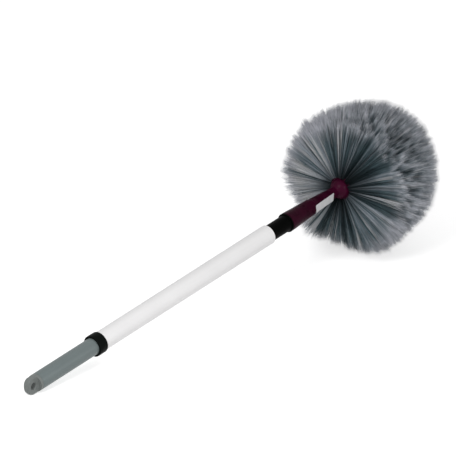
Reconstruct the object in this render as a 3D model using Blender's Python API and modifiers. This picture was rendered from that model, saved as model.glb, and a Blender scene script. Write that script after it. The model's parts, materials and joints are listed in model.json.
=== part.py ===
# Telescopic dusting brush: a two-section twist-lock pole, a plum socket arm with a fork,
# and a round bristle head that tilts on it. It lies on the floor on its head and its end cap.
# Pole pieces are made along local +Z, which runs along the pole towards the head, and local +X
# is the side that faces the floor. Lengths are in metres.
import math

import bmesh
import bpy
from mathutils import Matrix, Vector

MM = 0.001
GAP = 0.3 * MM

# Outer tube, with its upper end at z = 0
OUTER_LENGTH = 320 * MM
OUTER_DIAMETER = 25 * MM
OUTER_WALL = 1.2 * MM

# Inner tube, from its upper end inside the outer tube down to the end cap
INNER_TOP = -140 * MM
INNER_LENGTH = 288 * MM
INNER_WALL = 1.0 * MM

# Black collar on the outer tube's lower end
COLLAR_STEP = 1.25 * MM
COLLAR_GRIP = 6.8 * MM
COLLAR_LIP = 7 * MM
COLLAR_LIP_ROUND = 1.2 * MM
COLLAR_GRIP_ROUND = 0.6 * MM

# End cap with a flattened hanging eye
CAP_LENGTH = 20 * MM
CAP_PLUG_LENGTH = 15 * MM
CAP_PLUG_WALL = 2.5 * MM
CAP_ROUND = 8 * MM
EYE_THICKNESS = 8 * MM
EYE_SHOULDER = 4 * MM
EYE_HOLE_DIAMETER = 9 * MM
EYE_HOLE_FROM_END = 9 * MM

# Twist lock: plug, eccentric journal, split expander, retainer and screw
PLUG_LENGTH = 15 * MM
PLUG_WALL = 3 * MM
PLUG_CORE_DEPTH = 11 * MM
PLUG_FLANGE = 3 * MM
JOURNAL_DIAMETER = 12 * MM
JOURNAL_OFFSET = 0.6 * MM
EXPANDER_LENGTH = 19 * MM
EXPANDER_SLIT = 3 * MM
EXPANDER_GROOVE_DEPTH = 0.5 * MM
EXPANDER_GROOVE_WIDTH = 1.6 * MM
RETAINER_INSET = 0.8 * MM
RETAINER_THICKNESS = 3 * MM
LOCK_SCREW_DIAMETER = 4 * MM
LOCK_SCREW_LENGTH = 12 * MM
SCREW_HEAD_RATIO = 2.0
SCREW_HEAD_HEIGHT = 2.2 * MM

# Black adaptor between the outer tube and the socket
SPIGOT_LENGTH = 30 * MM
SLEEVE_CLEARANCE = 0.85 * MM
SLEEVE_LENGTH = 31.6 * MM
FLANGE_STEP = 0.1 * MM
FLANGE_LENGTH = 9.4 * MM
STUB_DIAMETER = 17 * MM
STUB_LENGTH = 25 * MM
ADAPTOR_CORE_DIAMETER = 13 * MM
SPIGOT_RIB_WIDTH = 3 * MM
SPIGOT_RIBS = 3

# Plum socket, tapered arm and the round fork at its end
SOCKET_MOUTH_STEP = 0.1 * MM
SOCKET_LENGTH = 42.7 * MM
SOCKET_BORE_MARGIN = 2.5 * MM
SHOULDER_DIAMETER = 19.9 * MM
ARM_LENGTH = 53.7 * MM
NECK_DIAMETER = 13.2 * MM
KNOB_DIAMETER = 26 * MM
NECK_FILLET = 2 * MM

# Flat pocket for a label on the arm
LABEL_LENGTH = 35 * MM
LABEL_DEPTH_LOW = 1.1 * MM
LABEL_DEPTH_HIGH = 2.2 * MM
LABEL_TURN = math.radians(9)

# Tilting joint inside the knob
TILT_LIMIT = math.radians(40)
TONGUE_THICKNESS = 6 * MM
TONGUE_WIDTH = 11 * MM
PIN_DIAMETER = 4 * MM
PIN_COVER = 5 * MM
PIN_RECESS = 1 * MM

# Swivel cup that carries the tufted rings
CUP_GAP = 0.4 * MM
CUP_WALL = 1.5 * MM
CUP_RIM = -1 * MM
CUP_FLOOR = 3 * MM
SPINE_DIAMETER = 10 * MM
TIE_SCREW_DIAMETER = 3.6 * MM
TIE_SCREW_LENGTH = 9 * MM
TIE_SCREW_TIP_GAP = 1 * MM

# Tufted rings of the brush block: four round the cup, three on the spine
RING_WALL = 2.2 * MM
CUP_RINGS = 4
NOSE_RINGS = 3
NOSE_LENGTH = 19.3 * MM
NOSE_TIP = 2.7 * MM
NOSE_RING_ROWS = 2
LAST_RING_ROWS = 3
NOSE_WEB = 2.4 * MM
NOSE_COUNTERBORE = 2.3 * MM
RING_TURN = math.radians(3.5)

# Bristle ball, measured from the knob's centre
BALL_CENTRE = 39.8 * MM
BALL_DROOP = 3.5 * MM
BALL_RADIUS = 97.5 * MM
REAR_ROW_ANGLE = math.radians(66)
REAR_ROW_SWING = math.radians(12)
REAR_SWING_TURN = math.radians(231)
FRONT_ROW_ANGLE = math.radians(171)
HOLE_PITCH = 4.5 * MM
TUFT_FAN = 0.8
TUFT_ROOT_WIDTH = 2.6 * MM
TUFT_ROOT_THICKNESS = 1.1 * MM
TUFT_TIP_THICKNESS = 0.7 * MM
TUFT_ROOT_DEPTH = 0.8 * MM
REST_FLAT = 0.5 * MM

ROUND_STEPS = 32
BLOCK_STEPS = 24
SMALL_STEPS = 20
KNOB_POINTS = 11
TONGUE_STEPS = 12
CUP_POINTS = 9
SLOT_POINTS = 9
NOSE_SIDE_POINTS = 3

# Sizes that follow from the ones above
OUTER_RADIUS = OUTER_DIAMETER / 2
OUTER_BORE = OUTER_RADIUS - OUTER_WALL
INNER_RADIUS = OUTER_BORE - GAP
INNER_BORE = INNER_RADIUS - INNER_WALL
COLLAR_RADIUS = OUTER_RADIUS + COLLAR_STEP
CAP_FACE = INNER_TOP - INNER_LENGTH
JOURNAL_START = GAP + PLUG_FLANGE
JOURNAL_END = JOURNAL_START + GAP + EXPANDER_LENGTH + GAP
RETAINER_RADIUS = INNER_RADIUS - RETAINER_INSET
SLEEVE_RADIUS = OUTER_BORE - SLEEVE_CLEARANCE
FLANGE_RADIUS = OUTER_RADIUS - FLANGE_STEP
STUB_BASE = SLEEVE_LENGTH + FLANGE_LENGTH
STUB_RADIUS = STUB_DIAMETER / 2
SOCKET_BASE = STUB_BASE + GAP
SOCKET_MOUTH_RADIUS = FLANGE_RADIUS - SOCKET_MOUTH_STEP
SHOULDER_POSITION = SOCKET_BASE + SOCKET_LENGTH
KNOB_POSITION = SHOULDER_POSITION + ARM_LENGTH
KNOB_RADIUS = KNOB_DIAMETER / 2
PIN_BLIND_DEPTH = KNOB_RADIUS - PIN_COVER
PIN_LENGTH = KNOB_DIAMETER - PIN_COVER - PIN_RECESS
CAVITY_RADIUS = KNOB_RADIUS + CUP_GAP
CUP_RADIUS = CAVITY_RADIUS + CUP_WALL
CUP_FRONT = CAVITY_RADIUS + CUP_FLOOR
BLOCK_BORE = CUP_RADIUS + GAP
BLOCK_RADIUS = BLOCK_BORE + RING_WALL
NOSE_START = CUP_FRONT + GAP
NOSE_REACH = NOSE_LENGTH + NOSE_TIP
SPINE_END = NOSE_START + NOSE_LENGTH - NOSE_COUNTERBORE - NOSE_WEB - GAP


# Scene helpers

def clear_scene():
    for obj in list(bpy.data.objects):
        bpy.data.objects.remove(obj, do_unlink=True)


def new_collection(name):
    collection = bpy.data.collections.new(name)
    bpy.context.scene.collection.children.link(collection)
    return collection


def make_material(name, colour, roughness, metallic=0.0):
    material = bpy.data.materials.new(name)
    material.use_nodes = True
    shader = material.node_tree.nodes["Principled BSDF"]
    shader.inputs["Base Color"].default_value = (*colour, 1.0)
    shader.inputs["Roughness"].default_value = roughness
    shader.inputs["Metallic"].default_value = metallic
    return material


clear_scene()
PARTS = new_collection("dusting_brush")
CUTTERS = new_collection("cutters_and_guides")


def place(obj, parent, height=0.0):
    obj.parent = parent
    obj.location = (0.0, 0.0, height)
    return obj


def new_part(name, mesh, material):
    obj = bpy.data.objects.new(name, mesh)
    mesh.materials.append(material)
    PARTS.objects.link(obj)
    return obj


def new_guide(name, mesh, parent):
    obj = bpy.data.objects.new(name, mesh)
    CUTTERS.objects.link(obj)
    obj.hide_render = True
    obj.display_type = "WIRE"
    obj.parent = parent
    return obj


def profile_mesh(name, outline, closed):
    edges = [(i, i + 1) for i in range(len(outline) - 1)]
    if closed:
        edges.append((len(outline) - 1, 0))
    mesh = bpy.data.meshes.new(name)
    mesh.from_pydata([(radius, 0.0, height) for radius, height in outline], edges, [])
    return mesh


def add_screw(obj, steps):
    screw = obj.modifiers.new("turn", "SCREW")
    screw.axis = "Z"
    screw.steps = steps
    screw.render_steps = steps
    screw.use_merge_vertices = True
    screw.merge_threshold = 0.00001


def turned(name, outline, material, closed=False, steps=ROUND_STEPS):
    obj = new_part(name, profile_mesh(name, outline, closed), material)
    add_screw(obj, steps)
    return obj


def boolean(obj, operation, other):
    modifier = obj.modifiers.new(operation.lower(), "BOOLEAN")
    modifier.operation = operation
    modifier.solver = "EXACT"
    modifier.object = other


def block(name, size, parent):
    shape = bmesh.new()
    bmesh.ops.create_cube(shape, size=1.0)
    bmesh.ops.scale(shape, vec=size, verts=shape.verts)
    mesh = bpy.data.meshes.new(name)
    shape.to_mesh(mesh)
    shape.free()
    return new_guide(name, mesh, parent)


def rod(name, radius, length, parent, steps=SMALL_STEPS):
    shape = bmesh.new()
    bmesh.ops.create_cone(shape, cap_ends=True, segments=steps, radius1=radius, radius2=radius, depth=length)
    mesh = bpy.data.meshes.new(name)
    shape.to_mesh(mesh)
    shape.free()
    return new_guide(name, mesh, parent)


def plate(name, outline, thickness, parent):
    # The outline is in (x, z), and the plate's thickness is along y.
    curve = bpy.data.curves.new(name, "CURVE")
    curve.dimensions = "2D"
    curve.fill_mode = "BOTH"
    curve.extrude = thickness / 2
    curve.resolution_u = 1
    curve.render_resolution_u = 0
    spline = curve.splines.new("POLY")
    spline.points.add(len(outline) - 1)
    for point, (across, along) in zip(spline.points, outline):
        point.co = (across, along, 0.0, 1.0)
    spline.use_cyclic_u = True
    drawn = bpy.data.objects.new(name + "_curve", curve)
    CUTTERS.objects.link(drawn)
    bpy.context.view_layer.update()
    mesh = bpy.data.meshes.new_from_object(drawn.evaluated_get(bpy.context.evaluated_depsgraph_get()))
    bpy.data.objects.remove(drawn, do_unlink=True)
    shape = bmesh.new()
    shape.from_mesh(mesh)
    bmesh.ops.remove_doubles(shape, verts=shape.verts, dist=0.000001)
    bmesh.ops.recalc_face_normals(shape, faces=shape.faces)
    shape.to_mesh(mesh)
    shape.free()
    guide = new_guide(name, mesh, parent)
    guide.rotation_euler = (math.pi / 2, 0.0, 0.0)
    return guide


def arc(centre, radius, start, end, points):
    # Points on a circle in (r, z), with angles in degrees from the r axis.
    step = (end - start) / (points - 1)
    angles = [math.radians(start + step * i) for i in range(points)]
    return [(centre[0] + radius * math.cos(a), centre[1] + radius * math.sin(a)) for a in angles]


# Layout of the bristle rows

def block_radius(height):
    if height <= NOSE_START:
        return BLOCK_RADIUS
    return BLOCK_RADIUS * math.sqrt(1 - ((height - NOSE_START) / NOSE_REACH) ** 2)


def ring_spans():
    # Lowest and highest z of each tufted ring, from the knob's centre.
    pitch = (NOSE_START - CUP_RIM) / CUP_RINGS
    spans = [(CUP_RIM + pitch * i, CUP_RIM + pitch * (i + 1) - GAP) for i in range(CUP_RINGS)]
    pitch = (NOSE_LENGTH + GAP) / NOSE_RINGS
    spans += [(NOSE_START + pitch * i, NOSE_START + pitch * (i + 1) - GAP) for i in range(NOSE_RINGS)]
    return spans


def rows_on_ring(index):
    if index < CUP_RINGS:
        return 1
    if index < CUP_RINGS + NOSE_RINGS - 1:
        return NOSE_RING_ROWS
    return LAST_RING_ROWS


def root_rows():
    # One list of (r, z) roots for each ring: a row on each cup ring, more on the nose.
    rows = []
    for index, (low, high) in enumerate(ring_spans()):
        last = index == CUP_RINGS + NOSE_RINGS - 1
        count = rows_on_ring(index)
        heights = [low + (high - low) * (i + 0.5) / count for i in range(count)]
        roots = [(block_radius(z), z) for z in heights]
        if last:
            face_radius = (screw_head_radius(TIE_SCREW_DIAMETER) + block_radius(high)) / 2 + GAP
            roots[-1] = (face_radius, high)
        rows.append(roots)
    return rows


def screw_head_radius(diameter):
    return diameter * SCREW_HEAD_RATIO / 2


def fan_angle(share, turn):
    # The rear rows lean back less on the side that REAR_SWING_TURN names than on the other.
    swing = REAR_ROW_SWING * (1 - share) * math.cos(turn - REAR_SWING_TURN)
    return REAR_ROW_ANGLE + (FRONT_ROW_ANGLE - REAR_ROW_ANGLE) * share + swing


def fan_rows():
    # For each ring, a list of rows; a row is a list of (root, tip, half of the fan's tip edge).
    roots = root_rows()
    last = sum(len(ring) for ring in roots) - 1
    rings = []
    number = 0
    for ring in roots:
        rows = []
        for root_radius, root_height in ring:
            count = round(2 * math.pi * root_radius / HOLE_PITCH)
            shift = 0.5 if number % 2 == 0 else 0.0
            row = []
            for i in range(count):
                turn = 2 * math.pi * (i + shift) / count
                angle = fan_angle(number / last, turn)
                side = Vector((math.cos(turn), math.sin(turn), 0.0))
                across = Vector((-math.sin(turn), math.cos(turn), 0.0))
                tip_radius = BALL_RADIUS * math.sin(angle)
                tip_height = BALL_CENTRE - BALL_RADIUS * math.cos(angle)
                root = side * root_radius + Vector((0.0, 0.0, root_height))
                tip = side * tip_radius + Vector((BALL_DROOP, 0.0, tip_height))
                edge = across * (TUFT_FAN * math.pi * tip_radius / count)
                row.append((root, tip, edge))
            rows.append(row)
            number += 1
        rings.append(rows)
    return rings


def fan_corners(rows):
    shift = Vector((0.0, 0.0, KNOB_POSITION))
    return [tip + shift + edge * end for row in rows for root, tip, edge in row for end in (-1, 1)]


# How the brush lies on the floor

def end_cap_outline():
    plug_radius = INNER_BORE - GAP
    bore = plug_radius - CAP_PLUG_WALL
    rounding = arc((INNER_RADIUS - CAP_ROUND, CAP_ROUND - CAP_LENGTH), CAP_ROUND, 0, -90, 7)
    return [
        (0.0, GAP),
        (bore, GAP),
        (bore, CAP_PLUG_LENGTH),
        (plug_radius - 1 * MM, CAP_PLUG_LENGTH),
        (plug_radius, CAP_PLUG_LENGTH - 1 * MM),
        (plug_radius, -GAP),
        (INNER_RADIUS, -GAP),
        *rounding,
        (0.0, -CAP_LENGTH),
    ]


def cap_points():
    return [Vector((radius, 0.0, CAP_FACE + height)) for radius, height in end_cap_outline()]


def tip_points():
    return [corner for rows in fan_rows() for corner in fan_corners(rows)]


def height_above_origin(point, tilt):
    return point.z * math.sin(tilt) - point.x * math.cos(tilt)


def lowest(points, tilt):
    return min(height_above_origin(point, tilt) for point in points)


def rest_tilt():
    # The tilt at which the cap touches the floor and the lowest bristles are cut flat on it.
    low, high = 0.0, math.radians(30)
    cap = cap_points()
    tips = tip_points()
    for _ in range(50):
        tilt = (low + high) / 2
        if lowest(cap, tilt) > lowest(tips, tilt) + REST_FLAT:
            low = tilt
        else:
            high = tilt
    return low


REST_TILT = rest_tilt()


def along_floor(point):
    return point.z * math.cos(REST_TILT) + point.x * math.sin(REST_TILT)


def make_pole_axis():
    ends = [along_floor(point) for point in cap_points() + tip_points()]
    mirrored = [along_floor(Vector((-point.x, 0.0, point.z))) for point in cap_points()]
    middle = (max(ends) + min(ends + mirrored)) / 2
    axis = bpy.data.objects.new("pole_axis", None)
    axis.rotation_euler = (0.0, math.pi / 2 - REST_TILT, 0.0)
    axis.location = (-middle, 0.0, -lowest(cap_points(), REST_TILT))
    PARTS.objects.link(axis)
    return axis


POLE = make_pole_axis()
PIVOT = bpy.data.objects.new("head_pivot", None)
PARTS.objects.link(PIVOT)
place(PIVOT, POLE, KNOB_POSITION)

# Materials

WHITE_COAT = make_material("white_coat", (0.82, 0.82, 0.83), 0.35)
GREY_COAT = make_material("grey_coat", (0.2, 0.22, 0.215), 0.45)
GREY_PLASTIC = make_material("grey_plastic", (0.19, 0.205, 0.2), 0.5)
BLACK_PLASTIC = make_material("black_plastic", (0.012, 0.013, 0.013), 0.4)
NATURAL_NYLON = make_material("natural_nylon", (0.68, 0.66, 0.6), 0.5)
PLUM_PLASTIC = make_material("plum_plastic", (0.055, 0.004, 0.02), 0.25)
BRIGHT_STEEL = make_material("bright_steel", (0.6, 0.6, 0.6), 0.3, 1.0)
BRISTLE_GREY = make_material("bristle_grey", (0.14, 0.18, 0.2), 0.5)


# Pole pieces

def tube_outline(radius, bore, length):
    return [(radius, 0.0), (radius, -length), (bore, -length), (bore, 0.0)]


def outer_tube():
    tube = turned("outer_tube", tube_outline(OUTER_RADIUS, OUTER_BORE, OUTER_LENGTH), WHITE_COAT, closed=True)
    place(tube, POLE)


def inner_tube():
    tube = turned("inner_tube", tube_outline(INNER_RADIUS, INNER_BORE, INNER_LENGTH), GREY_COAT, closed=True)
    place(tube, POLE, INNER_TOP)


def end_collar():
    grip_inset = COLLAR_RADIUS - COLLAR_GRIP_ROUND
    lip_inset = COLLAR_RADIUS - COLLAR_LIP_ROUND
    lip_bore = INNER_RADIUS + GAP
    grip_bore = OUTER_RADIUS + GAP
    outline = [
        *arc((grip_inset, COLLAR_GRIP - COLLAR_GRIP_ROUND), COLLAR_GRIP_ROUND, 90, 0, 4),
        *arc((lip_inset, COLLAR_LIP_ROUND - COLLAR_LIP), COLLAR_LIP_ROUND, 0, -90, 4),
        (lip_bore + COLLAR_LIP_ROUND / 2, -COLLAR_LIP),
        (lip_bore, COLLAR_LIP_ROUND / 2 - COLLAR_LIP),
        (lip_bore, -GAP),
        (grip_bore, -GAP),
        (grip_bore, COLLAR_GRIP),
    ]
    place(turned("end_collar", outline, BLACK_PLASTIC, closed=True), POLE, -OUTER_LENGTH)


def end_cap():
    cap = place(turned("end_cap", end_cap_outline(), GREY_PLASTIC), POLE, CAP_FACE)
    depth = INNER_RADIUS
    for side in (-1, 1):
        cheek = block("eye_cheek", (4 * INNER_RADIUS, depth, 2 * CAP_LENGTH), cap)
        cheek.location = (0.0, side * (EYE_THICKNESS + depth) / 2, -EYE_SHOULDER - CAP_LENGTH)
        bevel = cheek.modifiers.new("shoulder_fillet", "BEVEL")
        bevel.width = 2 * MM
        bevel.segments = 3
        boolean(cap, "DIFFERENCE", cheek)
    hole = rod("eye_hole", EYE_HOLE_DIAMETER / 2, 2 * EYE_THICKNESS, cap)
    hole.rotation_euler = (math.pi / 2, 0.0, 0.0)
    hole.location = (0.0, 0.0, EYE_HOLE_FROM_END - CAP_LENGTH)
    boolean(cap, "DIFFERENCE", hole)


def lock_plug():
    radius = INNER_BORE - GAP
    bore = radius - PLUG_WALL
    outline = [
        (0.0, JOURNAL_START),
        (INNER_RADIUS - 0.5 * MM, JOURNAL_START),
        (INNER_RADIUS, JOURNAL_START - 0.5 * MM),
        (INNER_RADIUS, GAP),
        (radius, GAP),
        (radius, 1 * MM - PLUG_LENGTH),
        (radius - 1 * MM, -PLUG_LENGTH),
        (bore, -PLUG_LENGTH),
        (bore, PLUG_CORE_DEPTH - PLUG_LENGTH),
        (0.0, PLUG_CORE_DEPTH - PLUG_LENGTH),
    ]
    plug = place(turned("lock_plug", outline, NATURAL_NYLON), POLE, INNER_TOP)
    length = JOURNAL_END - GAP
    journal = rod("journal", JOURNAL_DIAMETER / 2, length, plug, steps=ROUND_STEPS)
    journal.location = (JOURNAL_OFFSET, 0.0, JOURNAL_END - length / 2)
    boolean(plug, "UNION", journal)
    screw_hole = rod("lock_screw_hole", LOCK_SCREW_DIAMETER / 2 + GAP, 2 * (LOCK_SCREW_LENGTH + GAP), plug)
    screw_hole.location = (0.0, 0.0, JOURNAL_END + GAP + RETAINER_THICKNESS)
    boolean(plug, "DIFFERENCE", screw_hole)


def lock_expander():
    edge = 1 * MM
    groove = EXPANDER_GROOVE_WIDTH / 2
    floor = INNER_RADIUS - EXPANDER_GROOVE_DEPTH
    outline = [
        (0.0, EXPANDER_LENGTH),
        (INNER_RADIUS - edge, EXPANDER_LENGTH),
        (INNER_RADIUS, EXPANDER_LENGTH - edge),
    ]
    for share in (2 / 3, 1 / 3):
        middle = EXPANDER_LENGTH * share
        outline.append((INNER_RADIUS, middle + groove))
        outline.append((floor, middle + groove / 2))
        outline.append((floor, middle - groove / 2))
        outline.append((INNER_RADIUS, middle - groove))
    outline += [(INNER_RADIUS, edge), (INNER_RADIUS - edge, 0.0), (0.0, 0.0)]
    expander = turned("lock_expander", outline, BLACK_PLASTIC)
    place(expander, POLE, INNER_TOP + JOURNAL_START + GAP)
    # The journal swings round by twice its offset as the pole is twisted.
    bore_radius = JOURNAL_DIAMETER / 2 + 2 * JOURNAL_OFFSET + GAP
    bore = rod("expander_bore", bore_radius, 2 * EXPANDER_LENGTH, expander, steps=ROUND_STEPS)
    bore.location = (JOURNAL_OFFSET, 0.0, EXPANDER_LENGTH / 2)
    slit = block("expander_slit", (INNER_RADIUS, EXPANDER_SLIT, 2 * EXPANDER_LENGTH), expander)
    slit.location = (INNER_RADIUS, 0.0, EXPANDER_LENGTH / 2)
    boolean(expander, "DIFFERENCE", bore)
    boolean(expander, "DIFFERENCE", slit)


def lock_retainer():
    bore = LOCK_SCREW_DIAMETER / 2 + GAP
    edge = 0.6 * MM
    outline = [
        (RETAINER_RADIUS - edge, RETAINER_THICKNESS),
        (RETAINER_RADIUS, RETAINER_THICKNESS - edge),
        (RETAINER_RADIUS, 0.0),
        (bore, 0.0),
        (bore, RETAINER_THICKNESS),
    ]
    retainer = turned("lock_retainer", outline, NATURAL_NYLON, closed=True)
    place(retainer, POLE, INNER_TOP + JOURNAL_END + GAP)


def pan_screw(name, diameter, length):
    head = screw_head_radius(diameter)
    crown = SCREW_HEAD_HEIGHT / 3
    outline = [
        (0.0, SCREW_HEAD_HEIGHT),
        (head - 2 * crown, SCREW_HEAD_HEIGHT),
        (head - crown / 2, SCREW_HEAD_HEIGHT - crown / 2),
        (head, SCREW_HEAD_HEIGHT - 2 * crown),
        (head, 0.0),
        (diameter / 2, 0.0),
        (diameter / 2, diameter / 4 - length),
        (diameter / 4, -length),
        (0.0, -length),
    ]
    return turned(name, outline, BRIGHT_STEEL, steps=SMALL_STEPS)


def retainer_screw():
    screw = pan_screw("retainer_screw", LOCK_SCREW_DIAMETER, LOCK_SCREW_LENGTH)
    place(screw, POLE, INNER_TOP + JOURNAL_END + GAP + RETAINER_THICKNESS + GAP)


def tube_adaptor():
    core = ADAPTOR_CORE_DIAMETER / 2
    rib = OUTER_BORE - GAP
    edge = 1 * MM
    outline = [
        (0.0, STUB_BASE + STUB_LENGTH),
        (STUB_RADIUS - edge, STUB_BASE + STUB_LENGTH),
        (STUB_RADIUS, STUB_BASE + STUB_LENGTH - edge),
        (STUB_RADIUS, STUB_BASE),
        *arc((FLANGE_RADIUS - edge, STUB_BASE - edge), edge, 90, 0, 4),
        *arc((FLANGE_RADIUS - edge, SLEEVE_LENGTH + edge), edge, 0, -90, 4),
        (SLEEVE_RADIUS, SLEEVE_LENGTH),
    ]
    rib_pitch = (SPIGOT_LENGTH - SPIGOT_RIB_WIDTH) / SPIGOT_RIBS
    for i in range(SPIGOT_RIBS):
        top = -SPIGOT_RIB_WIDTH - rib_pitch * i
        ramp = rib - SLEEVE_RADIUS
        outline.append((SLEEVE_RADIUS, top + ramp))
        outline.append((rib, top))
        outline.append((rib, top - SPIGOT_RIB_WIDTH))
        outline.append((SLEEVE_RADIUS, top - SPIGOT_RIB_WIDTH - ramp))
    outline += [
        (SLEEVE_RADIUS, edge - SPIGOT_LENGTH),
        (SLEEVE_RADIUS - edge, -SPIGOT_LENGTH),
        (core, -SPIGOT_LENGTH),
        (core, SLEEVE_LENGTH),
        (0.0, SLEEVE_LENGTH + core / 2),
    ]
    place(turned("tube_adaptor", outline, BLACK_PLASTIC), POLE)


# Plum arm and its joint

def arm_radius(height):
    # The arm tapers from the shoulder to the neck by the knob, in a slight curve.
    shoulder = SHOULDER_DIAMETER / 2
    neck = NECK_DIAMETER / 2
    share = (height - SHOULDER_POSITION) / (KNOB_POSITION - KNOB_RADIUS - SHOULDER_POSITION)
    return shoulder + (neck - shoulder) * min(1.0, share) ** 0.85


def knob_arc():
    # The knob from its front pole down to the fillet into the neck, in pole coordinates.
    neck = NECK_DIAMETER / 2
    offset = math.sqrt((KNOB_RADIUS + NECK_FILLET) ** 2 - (neck + NECK_FILLET) ** 2)
    meet = math.degrees(math.atan2(-offset, neck + NECK_FILLET))
    ball = arc((0.0, KNOB_POSITION), KNOB_RADIUS, 90, meet, KNOB_POINTS)
    fillet = arc((neck + NECK_FILLET, KNOB_POSITION - offset), NECK_FILLET, 180 + meet, 180, 3)
    ball[0] = (0.0, KNOB_POSITION + KNOB_RADIUS)
    return ball + fillet


def socket_arm_outline():
    mouth = SOCKET_MOUTH_RADIUS
    bore = STUB_RADIUS + GAP
    bore_end = STUB_BASE + STUB_LENGTH + SOCKET_BORE_MARGIN
    edge = 1 * MM
    outline = knob_arc()
    tail = outline[-1][1]
    for i in range(1, 5):
        height = tail + (SHOULDER_POSITION - tail) * i / 5
        outline.append((arm_radius(height), height))
    outline += [
        (SHOULDER_DIAMETER / 2, SHOULDER_POSITION),
        (mouth, SOCKET_BASE + 4 * edge),
        (mouth, SOCKET_BASE + edge),
        (mouth - edge, SOCKET_BASE),
        (bore + edge / 2, SOCKET_BASE),
        (bore, SOCKET_BASE + edge / 2),
        (bore, bore_end),
        (0.0, bore_end + bore / 3),
    ]
    return outline


def pivot_bore(parent, height):
    # One bore line through the fork, the tongue and the cup's far side, blind in the near cheek.
    far_end = CUP_RADIUS + 1 * MM
    length = far_end + PIN_BLIND_DEPTH + GAP
    bore = rod("pivot_bore", PIN_DIAMETER / 2 + GAP, length, parent)
    bore.rotation_euler = (math.pi / 2, 0.0, 0.0)
    bore.location = (0.0, far_end - length / 2, height)
    return bore


def fork_slot_outline():
    # Round pocket at the pin, with straight walls that stop the tongue at the tilt limit.
    pocket = TONGUE_WIDTH / 2 + CUP_GAP
    reach = 3 * KNOB_RADIUS
    start = TILT_LIMIT + math.pi / 2
    outline = []
    for i in range(SLOT_POINTS):
        turn = start + (2 * math.pi - 2 * start) * i / (SLOT_POINTS - 1)
        outline.append((pocket * math.sin(turn), pocket * math.cos(turn)))
    first = outline[0]
    across = reach * math.sin(TILT_LIMIT)
    along = reach * math.cos(TILT_LIMIT)
    right = (first[0] + across, first[1] + along)
    left = (-right[0], right[1])
    return [right, *outline, left]


def socket_arm():
    arm = place(turned("socket_arm", socket_arm_outline(), PLUM_PLASTIC), POLE)
    slot = plate("fork_slot", fork_slot_outline(), TONGUE_THICKNESS + 2 * GAP, arm)
    slot.location = (0.0, 0.0, KNOB_POSITION)
    boolean(arm, "DIFFERENCE", slot)
    boolean(arm, "DIFFERENCE", pivot_bore(arm, KNOB_POSITION))
    boolean(arm, "DIFFERENCE", label_pocket(arm))


def label_pocket(parent):
    low = arm_radius(SHOULDER_POSITION) - LABEL_DEPTH_LOW
    high = arm_radius(SHOULDER_POSITION + LABEL_LENGTH) - LABEL_DEPTH_HIGH
    slope = math.atan2(low - high, LABEL_LENGTH)
    depth = SHOULDER_DIAMETER / 2
    pocket = block("label_pocket", (2 * SHOULDER_DIAMETER, depth, LABEL_LENGTH), parent)
    middle = (low + high) / 2 + depth / 2
    pocket.location = (
        math.sin(LABEL_TURN) * middle,
        -math.cos(LABEL_TURN) * middle,
        SHOULDER_POSITION + LABEL_LENGTH / 2,
    )
    pocket.rotation_euler = (-slope, 0.0, LABEL_TURN)
    return pocket


def pivot_pin():
    edge = 0.4 * MM
    radius = PIN_DIAMETER / 2
    outline = [
        (0.0, PIN_LENGTH),
        (radius - edge, PIN_LENGTH),
        (radius, PIN_LENGTH - edge),
        (radius, edge),
        (radius - edge, 0.0),
        (0.0, 0.0),
    ]
    pin = turned("pivot_pin", outline, BRIGHT_STEEL, steps=SMALL_STEPS)
    place(pin, PIVOT)
    pin.rotation_euler = (-math.pi / 2, 0.0, 0.0)
    pin.location = (0.0, -PIN_BLIND_DEPTH, 0.0)


def swivel_cup():
    spine = SPINE_DIAMETER / 2
    pilot = TIE_SCREW_DIAMETER / 2 + GAP
    edge = 0.6 * MM
    rim_angle = math.degrees(math.asin(CUP_RIM / CAVITY_RADIUS))
    cavity = arc((0.0, 0.0), CAVITY_RADIUS, rim_angle, 90, CUP_POINTS)
    cavity[-1] = (0.0, CAVITY_RADIUS)
    outline = [
        (0.0, SPINE_END - TIE_SCREW_LENGTH),
        (pilot, SPINE_END - TIE_SCREW_LENGTH),
        (pilot, SPINE_END),
        (spine - edge, SPINE_END),
        (spine, SPINE_END - edge),
        (spine, CUP_FRONT),
        (CUP_RADIUS - edge, CUP_FRONT),
        (CUP_RADIUS, CUP_FRONT - edge),
        (CUP_RADIUS, CUP_RIM),
        *cavity,
    ]
    cup = place(turned("swivel_cup", outline, PLUM_PLASTIC, steps=BLOCK_STEPS), PIVOT)
    tongue = plate("tongue", tongue_outline(), TONGUE_THICKNESS, cup)
    boolean(cup, "UNION", tongue)
    boolean(cup, "DIFFERENCE", pivot_bore(cup, 0.0))


def tongue_outline():
    half = TONGUE_WIDTH / 2
    root = CAVITY_RADIUS + CUP_FLOOR / 2
    eye = arc((0.0, 0.0), half, 180, 360, TONGUE_STEPS + 1)
    return [(-half, root), *eye, (half, root)]


# Brush block

def tie_screw():
    screw = pan_screw("tie_screw", TIE_SCREW_DIAMETER, TIE_SCREW_LENGTH - TIE_SCREW_TIP_GAP)
    place(screw, PIVOT, SPINE_END + GAP + NOSE_WEB + GAP)


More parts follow.
